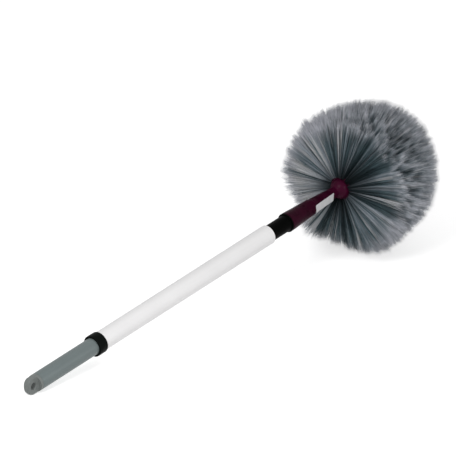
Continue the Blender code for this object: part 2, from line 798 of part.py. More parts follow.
def ring_outline(index, low, high):
    if index < CUP_RINGS:
        return [(BLOCK_RADIUS, high), (BLOCK_RADIUS, low), (BLOCK_BORE, low), (BLOCK_BORE, high)]
    step = (low - high) / (NOSE_SIDE_POINTS - 1)
    heights = [high + step * i for i in range(NOSE_SIDE_POINTS)]
    side = [(block_radius(z), z) for z in heights]
    bore = SPINE_DIAMETER / 2 + GAP
    if index < CUP_RINGS + NOSE_RINGS - 1:
        return [*side, (bore, low), (bore, high)]
    # The last ring closes over the spine and holds the tie screw in a counterbore.
    web = SPINE_END + GAP
    pilot = TIE_SCREW_DIAMETER / 2 + GAP
    head = screw_head_radius(TIE_SCREW_DIAMETER) + GAP
    return [
        *side,
        (bore, low),
        (bore, web),
        (pilot, web),
        (pilot, web + NOSE_WEB),
        (head, web + NOSE_WEB),
        (head, high),
    ]


def add_fan(shape, root, tip, edge):
    # A cube drawn out into a thin fan, from inside its ring's hole to the ball's surface.
    line = (tip - root).normalized()
    start = root - line * TUFT_ROOT_DEPTH
    thin = line.cross(edge).normalized()
    turn = Matrix((thin.cross(line), thin, line)).transposed().to_4x4()
    turn.translation = (start + tip) / 2
    corners = bmesh.ops.create_cube(shape, size=1.0)["verts"]
    for corner in corners:
        at_tip = corner.co.z > 0
        corner.co.x *= 2 * edge.length if at_tip else TUFT_ROOT_WIDTH
        corner.co.y *= TUFT_TIP_THICKNESS if at_tip else TUFT_ROOT_THICKNESS
        corner.co.z *= (tip - start).length
    bmesh.ops.transform(shape, matrix=turn, verts=corners)


def tuft_fans(name, rows, parent):
    shape = bmesh.new()
    for row in rows:
        for root, tip, edge in row:
            add_fan(shape, root, tip, edge)
    mesh = bpy.data.meshes.new(name)
    shape.to_mesh(mesh)
    shape.free()
    return new_guide(name, mesh, parent)


def floor_block():
    size = 3 * BALL_RADIUS
    floor = block("floor_block", (size, size, size), None)
    floor.location = (PIVOT.matrix_world.translation.x, 0.0, -size / 2)
    return floor


def reaches_floor(rows):
    return POLE.location.z + lowest(fan_corners(rows), REST_TILT) < 0.0


def tuft_rings():
    bpy.context.view_layer.update()
    floor = floor_block()
    rings = zip(ring_spans(), fan_rows())
    for index, ((low, high), rows) in enumerate(rings):
        name = f"tuft_ring_{index + 1}"
        ring = turned(name, ring_outline(index, low, high), BRISTLE_GREY, closed=True, steps=BLOCK_STEPS)
        place(ring, PIVOT)
        # The ring's corners are turned away from the fans, which stand evenly about the pole.
        ring.rotation_euler = (0.0, 0.0, RING_TURN)
        boolean(ring, "UNION", tuft_fans(f"fans_{index + 1}", rows, PIVOT))
        if reaches_floor(rows):
            boolean(ring, "DIFFERENCE", floor)


def build():
    outer_tube()
    end_collar()
    tube_adaptor()
    socket_arm()
    inner_tube()
    end_cap()
    lock_plug()
    lock_expander()
    lock_retainer()
    retainer_screw()
    pivot_pin()
    swivel_cup()
    tuft_rings()
    tie_screw()


build()
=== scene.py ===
import json
import math
import random

import bmesh
import bpy
from mathutils import Matrix, Vector


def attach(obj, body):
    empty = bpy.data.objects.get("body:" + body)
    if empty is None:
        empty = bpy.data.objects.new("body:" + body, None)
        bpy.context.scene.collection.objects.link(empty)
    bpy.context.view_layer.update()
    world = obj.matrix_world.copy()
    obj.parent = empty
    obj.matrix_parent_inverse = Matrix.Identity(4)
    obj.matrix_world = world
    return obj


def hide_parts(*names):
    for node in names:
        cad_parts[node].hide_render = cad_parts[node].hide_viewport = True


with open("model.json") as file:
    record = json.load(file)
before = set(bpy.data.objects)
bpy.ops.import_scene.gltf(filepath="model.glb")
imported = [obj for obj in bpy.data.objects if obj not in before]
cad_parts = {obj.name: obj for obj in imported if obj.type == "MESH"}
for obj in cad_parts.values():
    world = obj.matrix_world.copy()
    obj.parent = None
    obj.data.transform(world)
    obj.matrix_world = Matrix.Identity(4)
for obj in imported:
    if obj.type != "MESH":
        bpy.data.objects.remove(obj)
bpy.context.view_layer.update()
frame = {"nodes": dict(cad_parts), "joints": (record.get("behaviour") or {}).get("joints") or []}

MM = 0.001
DEG = math.radians(1)
GAP = 0.3 * MM

# Pole and lock
OUTER_LENGTH = 320 * MM
OUTER_RADIUS = 12.5 * MM
OUTER_BORE = 11.3 * MM
INNER_TOP = -140 * MM
INNER_LENGTH = 288 * MM
INNER_RADIUS = 11 * MM
INNER_BORE = 10 * MM
COLLAR_RADIUS = 13.75 * MM
COLLAR_GRIP = 6.8 * MM
COLLAR_LIP = 7 * MM

# Hanging cap
CAP_LENGTH = 20 * MM
CAP_PLUG_LENGTH = 15 * MM
CAP_PLUG_WALL = 2.5 * MM
CAP_ROUND = 8 * MM
EYE_THICKNESS = 8 * MM
EYE_SHOULDER = 4 * MM
EYE_HOLE_RADIUS = 4.5 * MM
EYE_HOLE_FROM_END = 9 * MM
EYE_HOLE_CHAMFER = 0.6 * MM
EYE_FILLET = 2 * MM

# Black adaptor
SPIGOT_LENGTH = 30 * MM
SPIGOT_RIB_WIDTH = 3 * MM
SPIGOT_RIBS = 3
SLEEVE_RADIUS = 10.45 * MM
SLEEVE_LENGTH = 33.4 * MM
FLANGE_RADIUS = 12.4 * MM
STUB_BASE = 35.2 * MM
STUB_RADIUS = 8.5 * MM
STUB_LENGTH = 25 * MM
ADAPTOR_CORE_RADIUS = 6.5 * MM

# Plum arm with its round fork
SOCKET_BASE = 35.5 * MM
SOCKET_MOUTH_RADIUS = 12.3 * MM
SOCKET_BORE_END = 68.5 * MM
SHOULDER_POSITION = 84 * MM
SHOULDER_RADIUS = 9.95 * MM
NECK_RADIUS = 6.6 * MM
NECK_FILLET = 2 * MM
ARM_TAPER = 0.85
KNOB_POSITION = 137.7 * MM
KNOB_RADIUS = 13 * MM
LABEL_START = 79.5 * MM
LABEL_LENGTH = 39.5 * MM
LABEL_WIDTH = 11.4 * MM
LABEL_SKEW = 3.5 * DEG
LABEL_THICKNESS = 0.25 * MM
LABEL_DEPTH_LOW = 1.06 * MM
LABEL_DEPTH_HIGH = 2.2 * MM
LABEL_TURN = 9 * DEG
LABEL_CORNER = 1.2 * MM
LABEL_CLEARANCE = 1 * MM
LABEL_LIFT = 0.05 * MM

# Tilting joint and brush block, from the knob's centre
TILT_LIMIT = 40 * DEG
TONGUE_THICKNESS = 6 * MM
TONGUE_RADIUS = 5.5 * MM
PIN_RADIUS = 2 * MM
PIN_START = -8 * MM
PIN_LENGTH = 20 * MM
CAVITY_RADIUS = 13.4 * MM
CUP_RADIUS = 14.9 * MM
CUP_RIM = -1 * MM
CUP_FRONT = 16.4 * MM
SPINE_RADIUS = 5 * MM
SPINE_END = 31 * MM
TIE_SCREW_RADIUS = 1.8 * MM
TIE_SCREW_LENGTH = 8 * MM
TIE_SCREW_HEAD = 2.2 * MM
TIE_SCREW_SLOT = (2.4 * MM, 0.7 * MM, 2 * MM)
TIE_SCREW_PILOT = 9 * MM
BLOCK_RADIUS = 17.4 * MM
BLOCK_BORE = 15.2 * MM
CUP_RINGS = 4
NOSE_RINGS = 3
LAST_RING = CUP_RINGS + NOSE_RINGS - 1
NOSE_START = 16.7 * MM
NOSE_LENGTH = 19.3 * MM
NOSE_REACH = 22 * MM
NOSE_WEB = 2.4 * MM

# Filament ball
BALL_CENTRE = Vector((3.5 * MM, 0.0, 39.8 * MM))
BALL_RADIUS = 97.5 * MM

# Steps round a large and a small turned body, and how near points are one
TURNS = 96
FINE_TURNS = 48
MERGE_DISTANCE = 0.002 * MM

# The joints say where the pole lies.
JOINTS = {joint["name"]: joint for joint in frame["joints"]}
ALONG = -Vector(JOINTS["pole_slide"]["axis"]).normalized()
KNOB = Vector(JOINTS["head_tilt"]["pos_m"])
SIDE = Vector((0.0, 1.0, 0.0))
DOWN = SIDE.cross(ALONG).normalized()


def frame_at(origin):
    matrix = Matrix((DOWN, SIDE, ALONG)).transposed().to_4x4()
    matrix.translation = origin
    return matrix


HEAD = frame_at(KNOB)
POLE = frame_at(KNOB - ALONG * KNOB_POSITION)


# Node trees

def is_vector(value):
    """Tells a vector from a number, in a node tree or as plain numbers."""
    if isinstance(value, Socket):
        return value.socket.type == "VECTOR"
    return isinstance(value, (tuple, Vector))


def maths(operation, swapped=False):
    """A socket's method that adds a maths node."""
    return lambda self, other: self.join(operation, other, swapped)


class Socket:
    """A value in a node tree. Maths on it adds the nodes that work it out."""

    def __init__(self, net, socket):
        self.net = net
        self.socket = socket

    def join(self, operation, other, swapped):
        first, second = (other, self) if swapped else (self, other)
        inputs = {0: first, 1: second}
        if not is_vector(first) and not is_vector(second):
            return self.net.out("ShaderNodeMath", {"operation": operation}, inputs)
        if operation == "MULTIPLY" and is_vector(first) != is_vector(second):
            operation = "SCALE"
            vector, number = (first, second) if is_vector(first) else (second, first)
            inputs = {0: vector, "Scale": number}
        return self.net.out("ShaderNodeVectorMath", {"operation": operation}, inputs)

    __add__ = maths("ADD")
    __radd__ = maths("ADD", swapped=True)
    __sub__ = maths("SUBTRACT")
    __rsub__ = maths("SUBTRACT", swapped=True)
    __mul__ = maths("MULTIPLY")
    __rmul__ = maths("MULTIPLY", swapped=True)
    __truediv__ = maths("DIVIDE")
    __pow__ = maths("POWER")
    most = maths("MAXIMUM")
    least = maths("MINIMUM")
    below = maths("LESS_THAN")

    def between(self, low, high):
        """0 at low and 1 at high, held at both ends."""
        inputs = {"Value": self, "From Min": low, "From Max": high}
        return self.net.out("ShaderNodeMapRange", {}, inputs)


class Net:
    """Adds and links nodes in one tree."""

    def __init__(self, tree):
        self.tree = tree

    def node(self, kind, settings=None, inputs=None):
        node = self.tree.nodes.new(kind)
        for key, value in (settings or {}).items():
            if key == "stops":
                self.set_stops(node.color_ramp, value)
            else:
                setattr(node, key, value)
        for key, value in (inputs or {}).items():
            self.feed(node.inputs[key], value)
        return node

    def out(self, kind, settings=None, inputs=None, output=0):
        return Socket(self, self.node(kind, settings, inputs).outputs[output])

    def feed(self, socket, value):
        if isinstance(value, Socket):
            self.tree.links.new(value.socket, socket)
        else:
            socket.default_value = value

    def set_stops(self, ramp, stops):
        while len(ramp.elements) < len(stops):
            ramp.elements.new(0.5)
        for element, (position, colour) in zip(ramp.elements, stops):
            element.position = position
            element.color = (*colour, 1.0)

    def parts(self, vector):
        """The three numbers of a vector."""
        node = self.node("ShaderNodeSeparateXYZ", {}, {0: vector})
        return [Socket(self, output) for output in node.outputs]

    def vector(self, x, y, z):
        return self.out("ShaderNodeCombineXYZ", {}, {0: x, 1: y, 2: z})

    def seen(self):
        """1 for what the camera sees, also in metal or through glass, or else 0."""
        path = self.node("ShaderNodeLightPath")
        rays = ("Is Camera Ray", "Is Glossy Ray", "Is Transmission Ray")
        camera, glossy, through = [Socket(self, path.outputs[ray]) for ray in rays]
        return camera.most(glossy).most(through)


class Finish(Net):
    """A procedural material."""

    def __init__(self, name, roughness=0.5, metallic=0.0, coat=0.0, specular=0.3):
        self.material = bpy.data.materials.new(name)
        self.material.use_nodes = True
        super().__init__(self.material.node_tree)
        self.shader = self.tree.nodes["Principled BSDF"]
        self.set("Roughness", roughness)
        self.set("Metallic", metallic)
        self.set("Specular IOR Level", specular)
        self.set("Coat Weight", coat)

    def set(self, name, value):
        self.feed(self.shader.inputs[name], value)

    def mix(self, factor, first, second, blend="MIX"):
        node = self.node("ShaderNodeMix", {"data_type": "RGBA", "blend_type": blend})
        self.feed(node.inputs[0], factor)
        for index, colour in ((6, first), (7, second)):
            self.feed(node.inputs[index], (*colour, 1.0) if isinstance(colour, tuple) else colour)
        return Socket(self, node.outputs[2])

    def tinted(self, colour, factor):
        """A colour times a number that varies over the surface."""
        shade = self.out("ShaderNodeCombineColor", {}, {0: factor, 1: factor, 2: factor})
        return self.mix(1.0, colour, shade, "MULTIPLY")

    def place(self):
        return self.out("ShaderNodeTexCoord", {}, {}, "Object")

    def pole_place(self, stretch=(1.0, 1.0, 1.0)):
        """Coordinates that run with the pole, in metres from the white tube's end."""
        to_pole = {
            "Vector": self.place(),
            "Location": POLE.translation,
            "Rotation": POLE.to_euler(),
        }
        along_pole = self.out("ShaderNodeMapping", {"vector_type": "TEXTURE"}, to_pole)
        return self.out("ShaderNodeMapping", {}, {"Vector": along_pole, "Scale": stretch})

    def pole_height(self):
        return self.parts(self.pole_place())[2]

    def noise(self, place, scale, detail=2.0, roughness=0.5):
        inputs = {"Vector": place, "Scale": scale, "Detail": detail, "Roughness": roughness}
        return self.out("ShaderNodeTexNoise", {}, inputs)

    def surface(self, colour, height, depth, roughness=None):
        """Sets what varies over the surface, with its relief and depth. Gives the material."""
        self.set("Base Color", colour)
        if roughness:
            self.set("Roughness", roughness)
        inputs = {"Height": height, "Distance": depth, "Strength": 1.0}
        self.set("Normal", self.out("ShaderNodeBump", {}, inputs))
        return self.material


# Finishes

WHITE = (0.845, 0.838, 0.840)
TUBE_GREY = (0.145, 0.175, 0.176)
CAP_GREY = (0.17, 0.185, 0.18)
DEEP_BLACK = (0.0008, 0.0010, 0.0008)
COLLAR_BLACK = (0.0036, 0.0048, 0.0044)
DARK_PLUM = (0.036, 0.0027, 0.0140)
LIGHT_PLUM = (0.052, 0.0038, 0.0200)
LABEL_WHITE = (0.66, 0.66, 0.67)
DARK_NYLON = (0.60, 0.57, 0.50)
LIGHT_NYLON = (0.74, 0.73, 0.68)
STEEL = (0.62, 0.62, 0.61)

# Filaments: their colours from root to tip, with painted shade towards the roots, the colours of
# painted highlight streaks, of pale filaments that are partly their own colour and partly painted
# highlight, and of split ends lit with painted rim light, and the tints where plain filaments end
# and pale ones start
FILAMENT_STOPS_ROOT_SHADED = [
    (0.0, (0.003, 0.005, 0.006)),
    (0.16, (0.015, 0.027, 0.032)),
    (0.48, (0.080, 0.128, 0.147)),
    (1.0, (0.162, 0.215, 0.240)),
]
LIT_STREAK = (0.47, 0.49, 0.55)
PALE_LIT_FILAMENT = (0.71, 0.72, 0.73)
SPLIT_END_RIM_LIGHT = (0.70, 0.71, 0.77)
PLAIN_TINTS_TO = 0.84
PALE_LIT_TINTS_FROM = 0.88
FILAMENT_MAP = "OFBake"


def white_coat():
    """Thick coating with a soft cloud and faint lines along the tube."""
    finish = Finish("white_coat", coat=0.15)
    place = finish.pole_place()
    cloud = finish.noise(place, 22.0, 3.0)
    drawn = finish.noise(finish.pole_place((260.0, 260.0, 5.0)), 1.0, 3.0)
    colour = finish.tinted(WHITE, 0.93 + cloud * 0.08 + drawn * 0.05)
    height = finish.noise(place, 700.0) + drawn * 0.6
    return finish.surface(colour, height, 0.03 * MM, 0.26 + drawn * 0.16)


def grey_coat():
    """Drawn tube with fine lines along it and specks in the coating."""
    finish = Finish("grey_coat")
    place = finish.pole_place()
    drawn = finish.noise(finish.pole_place((420.0, 420.0, 4.0)), 1.0, 4.0, 0.6)
    speck = finish.noise(place, 1500.0)
    cloud = finish.noise(place, 35.0, 3.0)
    colour = finish.tinted(TUBE_GREY, 0.78 + drawn * 0.2 + speck * 0.12 + cloud * 0.14)
    return finish.surface(colour, drawn + speck * 0.4, 0.04 * MM, 0.32 + drawn * 0.2)


def mould(finish, colour, roughness, grain, depth):
    """Gives a finish the fine grain and faint flow mottle of moulded plastic."""
    place = finish.place()
    cloud = finish.noise(place, 180.0, 3.0)
    height = finish.noise(place, grain) + cloud * 0.5
    mottled = finish.tinted(colour, 0.85 + cloud * 0.3)
    return finish.surface(mottled, height, depth, roughness + cloud * 0.1)


def grey_plastic():
    return mould(Finish("grey_plastic"), CAP_GREY, 0.45, 1300.0, 0.07 * MM)


def black_plastic():
    """Deep black at the adaptor, a little greyer at the collar."""
    finish = Finish("black_plastic", specular=0.02)
    greyer = finish.pole_height().between(-100 * MM, -200 * MM)
    colour = finish.mix(greyer, DEEP_BLACK, COLLAR_BLACK)
    return mould(finish, colour, 0.29, 1600.0, 0.02 * MM)


def plum_plastic():
    """Plum plastic, with painted shade darkening the arm against the knob."""
    finish = Finish("plum_plastic", specular=0.04)
    place = finish.place()
    flow = finish.noise(place, 90.0)
    fine = finish.noise(place, 1400.0)
    plum = finish.mix(flow.between(0.35, 0.68), DARK_PLUM, LIGHT_PLUM)
    # Painted shade: the colour is at 0.56 below 108 mm up the pole and rises to full by 128 mm,
    # near the knob.
    colour = finish.tinted(plum, 0.56 + finish.pole_height().between(108 * MM, 128 * MM) * 0.44)
    return finish.surface(colour, flow + fine * 0.3, 0.03 * MM, 0.2 + flow * 0.18)


def label_vinyl():
    finish = Finish("label_vinyl", 0.4)
    cloud = finish.noise(finish.pole_place(), 120.0, 3.0)
    crease = finish.noise(finish.pole_place((90.0, 90.0, 400.0)), 1.0)
    colour = finish.tinted(LABEL_WHITE, 0.86 + cloud * 0.2 + crease * 0.06)
    return finish.surface(colour, cloud + crease * 0.3, 0.08 * MM)


def nylon():
    finish = Finish("natural_nylon", 0.45)
    cloud = finish.noise(finish.place(), 260.0, 3.0)
    return finish.surface(finish.mix(cloud, DARK_NYLON, LIGHT_NYLON), cloud, 0.05 * MM)


def bright_steel():
    finish = Finish("bright_steel", metallic=1.0)
    lathe = finish.noise(finish.place(), 900.0, 3.0)
    colour = finish.tinted(STEEL, 0.85 + lathe * 0.3)
    return finish.surface(colour, lathe, 0.02 * MM, 0.2 + lathe * 0.2)


def filament():
    """Filaments darken to their roots in painted shade and pale to their tips, partly their own
    split ends and partly painted rim light.
    The map holds each one's own tint across and the way from root to tip upwards."""
    finish = Finish("filament", 0.42, specular=0.12)
    spread = finish.out("ShaderNodeUVMap", {"uv_map": FILAMENT_MAP})
    tint, along = finish.parts(spread)[:2]
    # Painted shade: the ramp falls to near black towards the roots, inside the ball.
    ramp = finish.out("ShaderNodeValToRGB", {"stops": FILAMENT_STOPS_ROOT_SHADED}, {0: along})
    body = finish.tinted(ramp, 0.28 + tint * 1.50)
    faded = 0.62 - along.between(0.6, 1.0) * 0.36
    # Painted highlight: filaments of middling-light tint are mixed towards a pale streak colour
    # from the roots up, less towards the tips.
    lit_streak = tint.between(0.58, 0.82) * along.between(0.02, 0.5) * faded
    lit_streaked = finish.mix(lit_streak, body, LIT_STREAK)
    # Pale filaments, partly their own colour and partly painted highlight.
    bleached = tint.between(PLAIN_TINTS_TO, PALE_LIT_TINTS_FROM) * along.between(0.2, 0.7) * 0.95
    coloured = finish.mix(bleached, lit_streaked, PALE_LIT_FILAMENT)
    # The tips pale out: partly the filaments' own split ends, partly painted rim light.
    tips = along.between(0.68, 0.96) * tint * 0.86 + along.between(0.82, 0.97) * 0.42
    finish.set("Base Color", finish.mix(tips, coloured, SPLIT_END_RIM_LIGHT))
    return finish.material


# Mesh helpers

def add_object(name, data, material=None):
    obj = bpy.data.objects.new(name, data)
    bpy.context.scene.collection.objects.link(obj)
    if material:
        data.materials.append(material)
    return obj


def made(name, shape, matrix=None, material=None):
    """The object that a bmesh makes. The bmesh is freed."""
    mesh = bpy.data.meshes.new(name)
    shape.to_mesh(mesh)
    shape.free()
    if matrix is not None:
        mesh.transform(matrix)
    return add_object(name, mesh, material)


def settle(obj):
    """Makes the object's modifiers final."""
    depsgraph = bpy.context.evaluated_depsgraph_get()
    mesh = bpy.data.meshes.new_from_object(obj.evaluated_get(depsgraph))
    obj.modifiers.clear()
    obj.data = mesh
    return obj


def smooth(obj, angle=35):
    obj.data.shade_smooth()
    obj.data.set_sharp_from_angle(angle=math.radians(angle))
    return obj


def bevelled(obj, width, segments):
    bevel = obj.modifiers.new("rounding", "BEVEL")
    bevel.width = width
    bevel.segments = segments
    return settle(obj)


def rounded(outline, steps=4):
    """An outline of (radius, height) or (radius, height, fillet) points, with its fillets drawn."""
    drawn = []
    for index, point in enumerate(outline):
        if len(point) == 2:
            drawn.append(Vector(point))
            continue
        corner = Vector(point[:2])
        before = Vector(outline[index - 1][:2]) - corner
        after = Vector(outline[(index + 1) % len(outline)][:2]) - corner
        reach = min(point[2], before.length * 0.48, after.length * 0.48)
        start = corner + before.normalized() * reach
        end = corner + after.normalized() * reach
        for i in range(steps + 1):
            share = i / steps
            drawn.append(start.lerp(corner, share).lerp(corner.lerp(end, share), share))
    return drawn


def arc(centre, radius, start, end, points):
    angles = [math.radians(start + (end - start) * i / (points - 1)) for i in range(points)]
    return [(centre[0] + radius * math.cos(a), centre[1] + radius * math.sin(a)) for a in angles]


def turned(name, outline, frame_matrix, material, turns=TURNS):
    """A body turned from an outline about the frame's z axis. An outline that starts on the axis
    ends there too, and any other closes round."""
    shape = bmesh.new()
    points = [shape.verts.new((p[0], 0.0, p[1])) for p in outline]
    pairs = list(zip(points, points[1:]))
    if outline[0][0] > 0:
        pairs.append((points[-1], points[0]))
    edges = [shape.edges.new(pair) for pair in pairs]
    about = {"cent": (0.0, 0.0, 0.0), "axis": (0.0, 0.0, 1.0), "dvec": (0.0, 0.0, 0.0)}
    steps = {"angle": 2 * math.pi, "steps": turns, "use_merge": True}
    bmesh.ops.spin(shape, geom=points + edges, **about, **steps)
    bmesh.ops.remove_doubles(shape, verts=shape.verts, dist=MERGE_DISTANCE)
    bmesh.ops.recalc_face_normals(shape, faces=shape.faces)
    return smooth(made(name, shape, frame_matrix, material))


def cut(obj, cutter, operation="DIFFERENCE"):
    modifier = obj.modifiers.new("cut", "BOOLEAN")
    modifier.operation = operation
    modifier.solver = "EXACT"
    modifier.object = cutter
    settle(obj)
    bpy.data.objects.remove(cutter, do_unlink=True)


def block(size, matrix):
    shape = bmesh.new()
    bmesh.ops.create_cube(shape, size=1.0)
    bmesh.ops.scale(shape, vec=size, verts=shape.verts)
    return made("block", shape, matrix)


def rod(radius, length, matrix, end_radius=None):
    """A round rod along z, or a cone where its end has a radius of its own."""
    shape = bmesh.new()
    bmesh.ops.create_cone(
        shape,
        cap_ends=True,
        segments=FINE_TURNS,
        radius1=radius,
        radius2=end_radius or radius,
        depth=length,
    )
    return made("rod", shape, matrix)


def plate(outline, thickness, matrix):
    """A flat plate with its outline in (x, z) and its thickness along y."""
    shape = bmesh.new()
    lower = [shape.verts.new((x, -thickness / 2, z)) for x, z in outline]
    face = shape.faces.new(lower)
    grown = bmesh.ops.extrude_face_region(shape, geom=[face])
    moved = [v for v in grown["geom"] if isinstance(v, bmesh.types.BMVert)]
    bmesh.ops.translate(shape, verts=moved, vec=(0.0, thickness, 0.0))
    bmesh.ops.recalc_face_normals(shape, faces=shape.faces)
    return made("plate", shape, matrix)


def at(x=0.0, y=0.0, z=0.0):
    return Matrix.Translation((x, y, z))


def turn(angle, axis):
    return Matrix.Rotation(angle, 4, axis)


def stand_for(piece, body, slot, *nodes):
    """The piece rides on a body and stands for CAD nodes, which it hides. Its slot is not used."""
    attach(piece, body)
    if nodes:
        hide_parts(*nodes)


# Pole

def tube_outline(radius, bore, length, edge):
    corners = [(radius, 0.0), (radius, -length), (bore, -length), (bore, 0.0)]
    return rounded([(*corner, edge) for corner in corners])


def make_outer_tube(material):
    outline = tube_outline(OUTER_RADIUS, OUTER_BORE, OUTER_LENGTH, 0.45 * MM)
    tube = turned("white_tube", outline, POLE, material)
    stand_for(tube, "outer_pole", "white_coat", "outer_tube")


def make_inner_tube(material):
    outline = tube_outline(INNER_RADIUS, INNER_BORE, INNER_LENGTH, 0.3 * MM)
    tube = turned("grey_tube", outline, POLE @ at(z=INNER_TOP), material)
    stand_for(tube, "inner_pole", "grey_coat", "inner_tube")


def make_collar(material):
    lip_bore = INNER_RADIUS + GAP
    grip_bore = OUTER_RADIUS + GAP
    outline = rounded([
        (COLLAR_RADIUS, COLLAR_GRIP, 0.7 * MM),
        (COLLAR_RADIUS, COLLAR_GRIP - 3.2 * MM, 0.5 * MM),
        (COLLAR_RADIUS + 0.12 * MM, 0.0, 2 * MM),
        (COLLAR_RADIUS, -COLLAR_LIP, 1.6 * MM),
        (lip_bore, -COLLAR_LIP, 0.7 * MM),
        (lip_bore, -GAP, 0.1 * MM),
        (grip_bore, -GAP, 0.1 * MM),
        (grip_bore, COLLAR_GRIP, 0.3 * MM),
    ])
    collar = turned("pole_collar", outline, POLE @ at(z=-OUTER_LENGTH), material)
    stand_for(collar, "outer_pole", "black_plastic", "end_collar")


def make_end_cap(material):
    plug = INNER_BORE - GAP
    bore = plug - CAP_PLUG_WALL
    plug_outline = rounded([
        (bore, GAP),
        (bore, CAP_PLUG_LENGTH, 0.3 * MM),
        (plug, CAP_PLUG_LENGTH, 1 * MM),
        (plug, -GAP),
    ])
    rounding = arc((INNER_RADIUS - CAP_ROUND, CAP_ROUND - CAP_LENGTH), CAP_ROUND, 0, -90, 16)
    outline = [(0.0, GAP), *plug_outline, (INNER_RADIUS, -GAP), *rounding, (0.0, -CAP_LENGTH)]
    place = POLE @ at(z=INNER_TOP - INNER_LENGTH)
    cap = turned("hanging_cap", outline, place, material)
    for side in (-1, 1):
        middle = at(0.0, side * (EYE_THICKNESS + INNER_RADIUS) / 2, -EYE_SHOULDER - CAP_LENGTH)
        cheek = block((4 * INNER_RADIUS, INNER_RADIUS, 2 * CAP_LENGTH), place @ middle)
        cut(cap, bevelled(cheek, EYE_FILLET, 6))
    hole = place @ at(z=EYE_HOLE_FROM_END - CAP_LENGTH) @ turn(math.pi / 2, "X")
    cut(cap, rod(EYE_HOLE_RADIUS, 2 * EYE_THICKNESS, hole))
    # A small chamfer leads into the hole on each flat.
    chamfer = 2 * EYE_HOLE_CHAMFER
    for flip in (0.0, math.pi):
        flat = hole @ turn(flip, "X") @ at(z=EYE_THICKNESS / 2)
        cut(cap, rod(EYE_HOLE_RADIUS, chamfer, flat, EYE_HOLE_RADIUS + chamfer))
    stand_for(smooth(cap, 30), "inner_pole", "grey_plastic", "end_cap")


def make_adaptor(material):
    rib = OUTER_BORE - GAP
    outline = [
        (0.0, STUB_BASE + STUB_LENGTH),
        (STUB_RADIUS, STUB_BASE + STUB_LENGTH, 1 * MM),
        (STUB_RADIUS, STUB_BASE, 0.4 * MM),
        (FLANGE_RADIUS, STUB_BASE, 0.5 * MM),
        (FLANGE_RADIUS, SLEEVE_LENGTH, 0.7 * MM),
        (SLEEVE_RADIUS, SLEEVE_LENGTH, 0.8 * MM),
    ]
    rib_pitch = (SPIGOT_LENGTH - SPIGOT_RIB_WIDTH) / SPIGOT_RIBS
    ramp = rib - SLEEVE_RADIUS
    for i in range(SPIGOT_RIBS):
        top = -SPIGOT_RIB_WIDTH - rib_pitch * i
        outline += [
            (SLEEVE_RADIUS, top + ramp),
            (rib, top),
            (rib, top - SPIGOT_RIB_WIDTH),
            (SLEEVE_RADIUS, top - SPIGOT_RIB_WIDTH - ramp),
        ]
    outline += [
        (SLEEVE_RADIUS, -SPIGOT_LENGTH, 1 * MM),
        (ADAPTOR_CORE_RADIUS, -SPIGOT_LENGTH, 0.5 * MM),
        (ADAPTOR_CORE_RADIUS, SLEEVE_LENGTH, 2 * MM),
        (0.0, SLEEVE_LENGTH + ADAPTOR_CORE_RADIUS / 2),
    ]
    adaptor = turned("black_adaptor", rounded(outline), POLE, material)
    stand_for(adaptor, "outer_pole", "black_plastic", "tube_adaptor")


# Arm and joint

def arm_radius(height):
    share = (height - SHOULDER_POSITION) / (KNOB_POSITION - KNOB_RADIUS - SHOULDER_POSITION)
    taper = min(1.0, max(0.0, share)) ** ARM_TAPER
    return SHOULDER_RADIUS + (NECK_RADIUS - SHOULDER_RADIUS) * taper


def arm_outline():
    offset = math.sqrt((KNOB_RADIUS + NECK_FILLET) ** 2 - (NECK_RADIUS + NECK_FILLET) ** 2)
    meet = math.degrees(math.atan2(-offset, NECK_RADIUS + NECK_FILLET))
    ball = arc((0.0, KNOB_POSITION), KNOB_RADIUS, 90, meet, 48)
    ball[0] = (0.0, KNOB_POSITION + KNOB_RADIUS)
    centre = (NECK_RADIUS + NECK_FILLET, KNOB_POSITION - offset)
    fillet = arc(centre, NECK_FILLET, 180 + meet, 180, 8)
    outline = ball + fillet
    tail = outline[-1][1]
    steps = 14
    for i in range(1, steps):
        height = tail + (SHOULDER_POSITION - tail) * i / steps
        outline.append((arm_radius(height), height))
    bore = STUB_RADIUS + GAP
    socket = rounded([
        (SHOULDER_RADIUS, SHOULDER_POSITION, 3 * MM),
        (SOCKET_MOUTH_RADIUS, SOCKET_BASE + 4 * MM, 2 * MM),
        (SOCKET_MOUTH_RADIUS, SOCKET_BASE, 0.9 * MM),
        (bore, SOCKET_BASE, 0.5 * MM),
        (bore, SOCKET_BORE_END, 1 * MM),
        (0.0, SOCKET_BORE_END + bore / 3),
    ])
    return outline + socket


def fork_slot_outline():
    pocket = TONGUE_RADIUS + 0.4 * MM
    reach = 3 * KNOB_RADIUS
    start = TILT_LIMIT + math.pi / 2
    points = 25
    outline = []
    for i in range(points):
        angle = start + (2 * math.pi - 2 * start) * i / (points - 1)
        outline.append((pocket * math.sin(angle), pocket * math.cos(angle)))
    first = outline[0]
    right = (first[0] + reach * math.sin(TILT_LIMIT), first[1] + reach * math.cos(TILT_LIMIT))
    return [right, *outline, (-right[0], right[1])]


def pin_bore():
    far_end = CUP_RADIUS + 1 * MM
    length = far_end - PIN_START + GAP
    place = HEAD @ at(y=far_end - length / 2) @ turn(math.pi / 2, "X")
    return rod(PIN_RADIUS + GAP, length, place)


def label_seat():
    """The flat pocket's frame: x across, y out of the flat, z along the arm, at its middle."""
    low = arm_radius(LABEL_START) - LABEL_DEPTH_LOW
    high = arm_radius(LABEL_START + LABEL_LENGTH) - LABEL_DEPTH_HIGH
    slope = math.atan2(low - high, LABEL_LENGTH)
    middle = (low + high) / 2
    place = at(
        math.sin(LABEL_TURN) * middle,
        -math.cos(LABEL_TURN) * middle,
        LABEL_START + LABEL_LENGTH / 2,
    )
    return POLE @ place @ turn(LABEL_TURN, "Z") @ turn(-slope, "X")


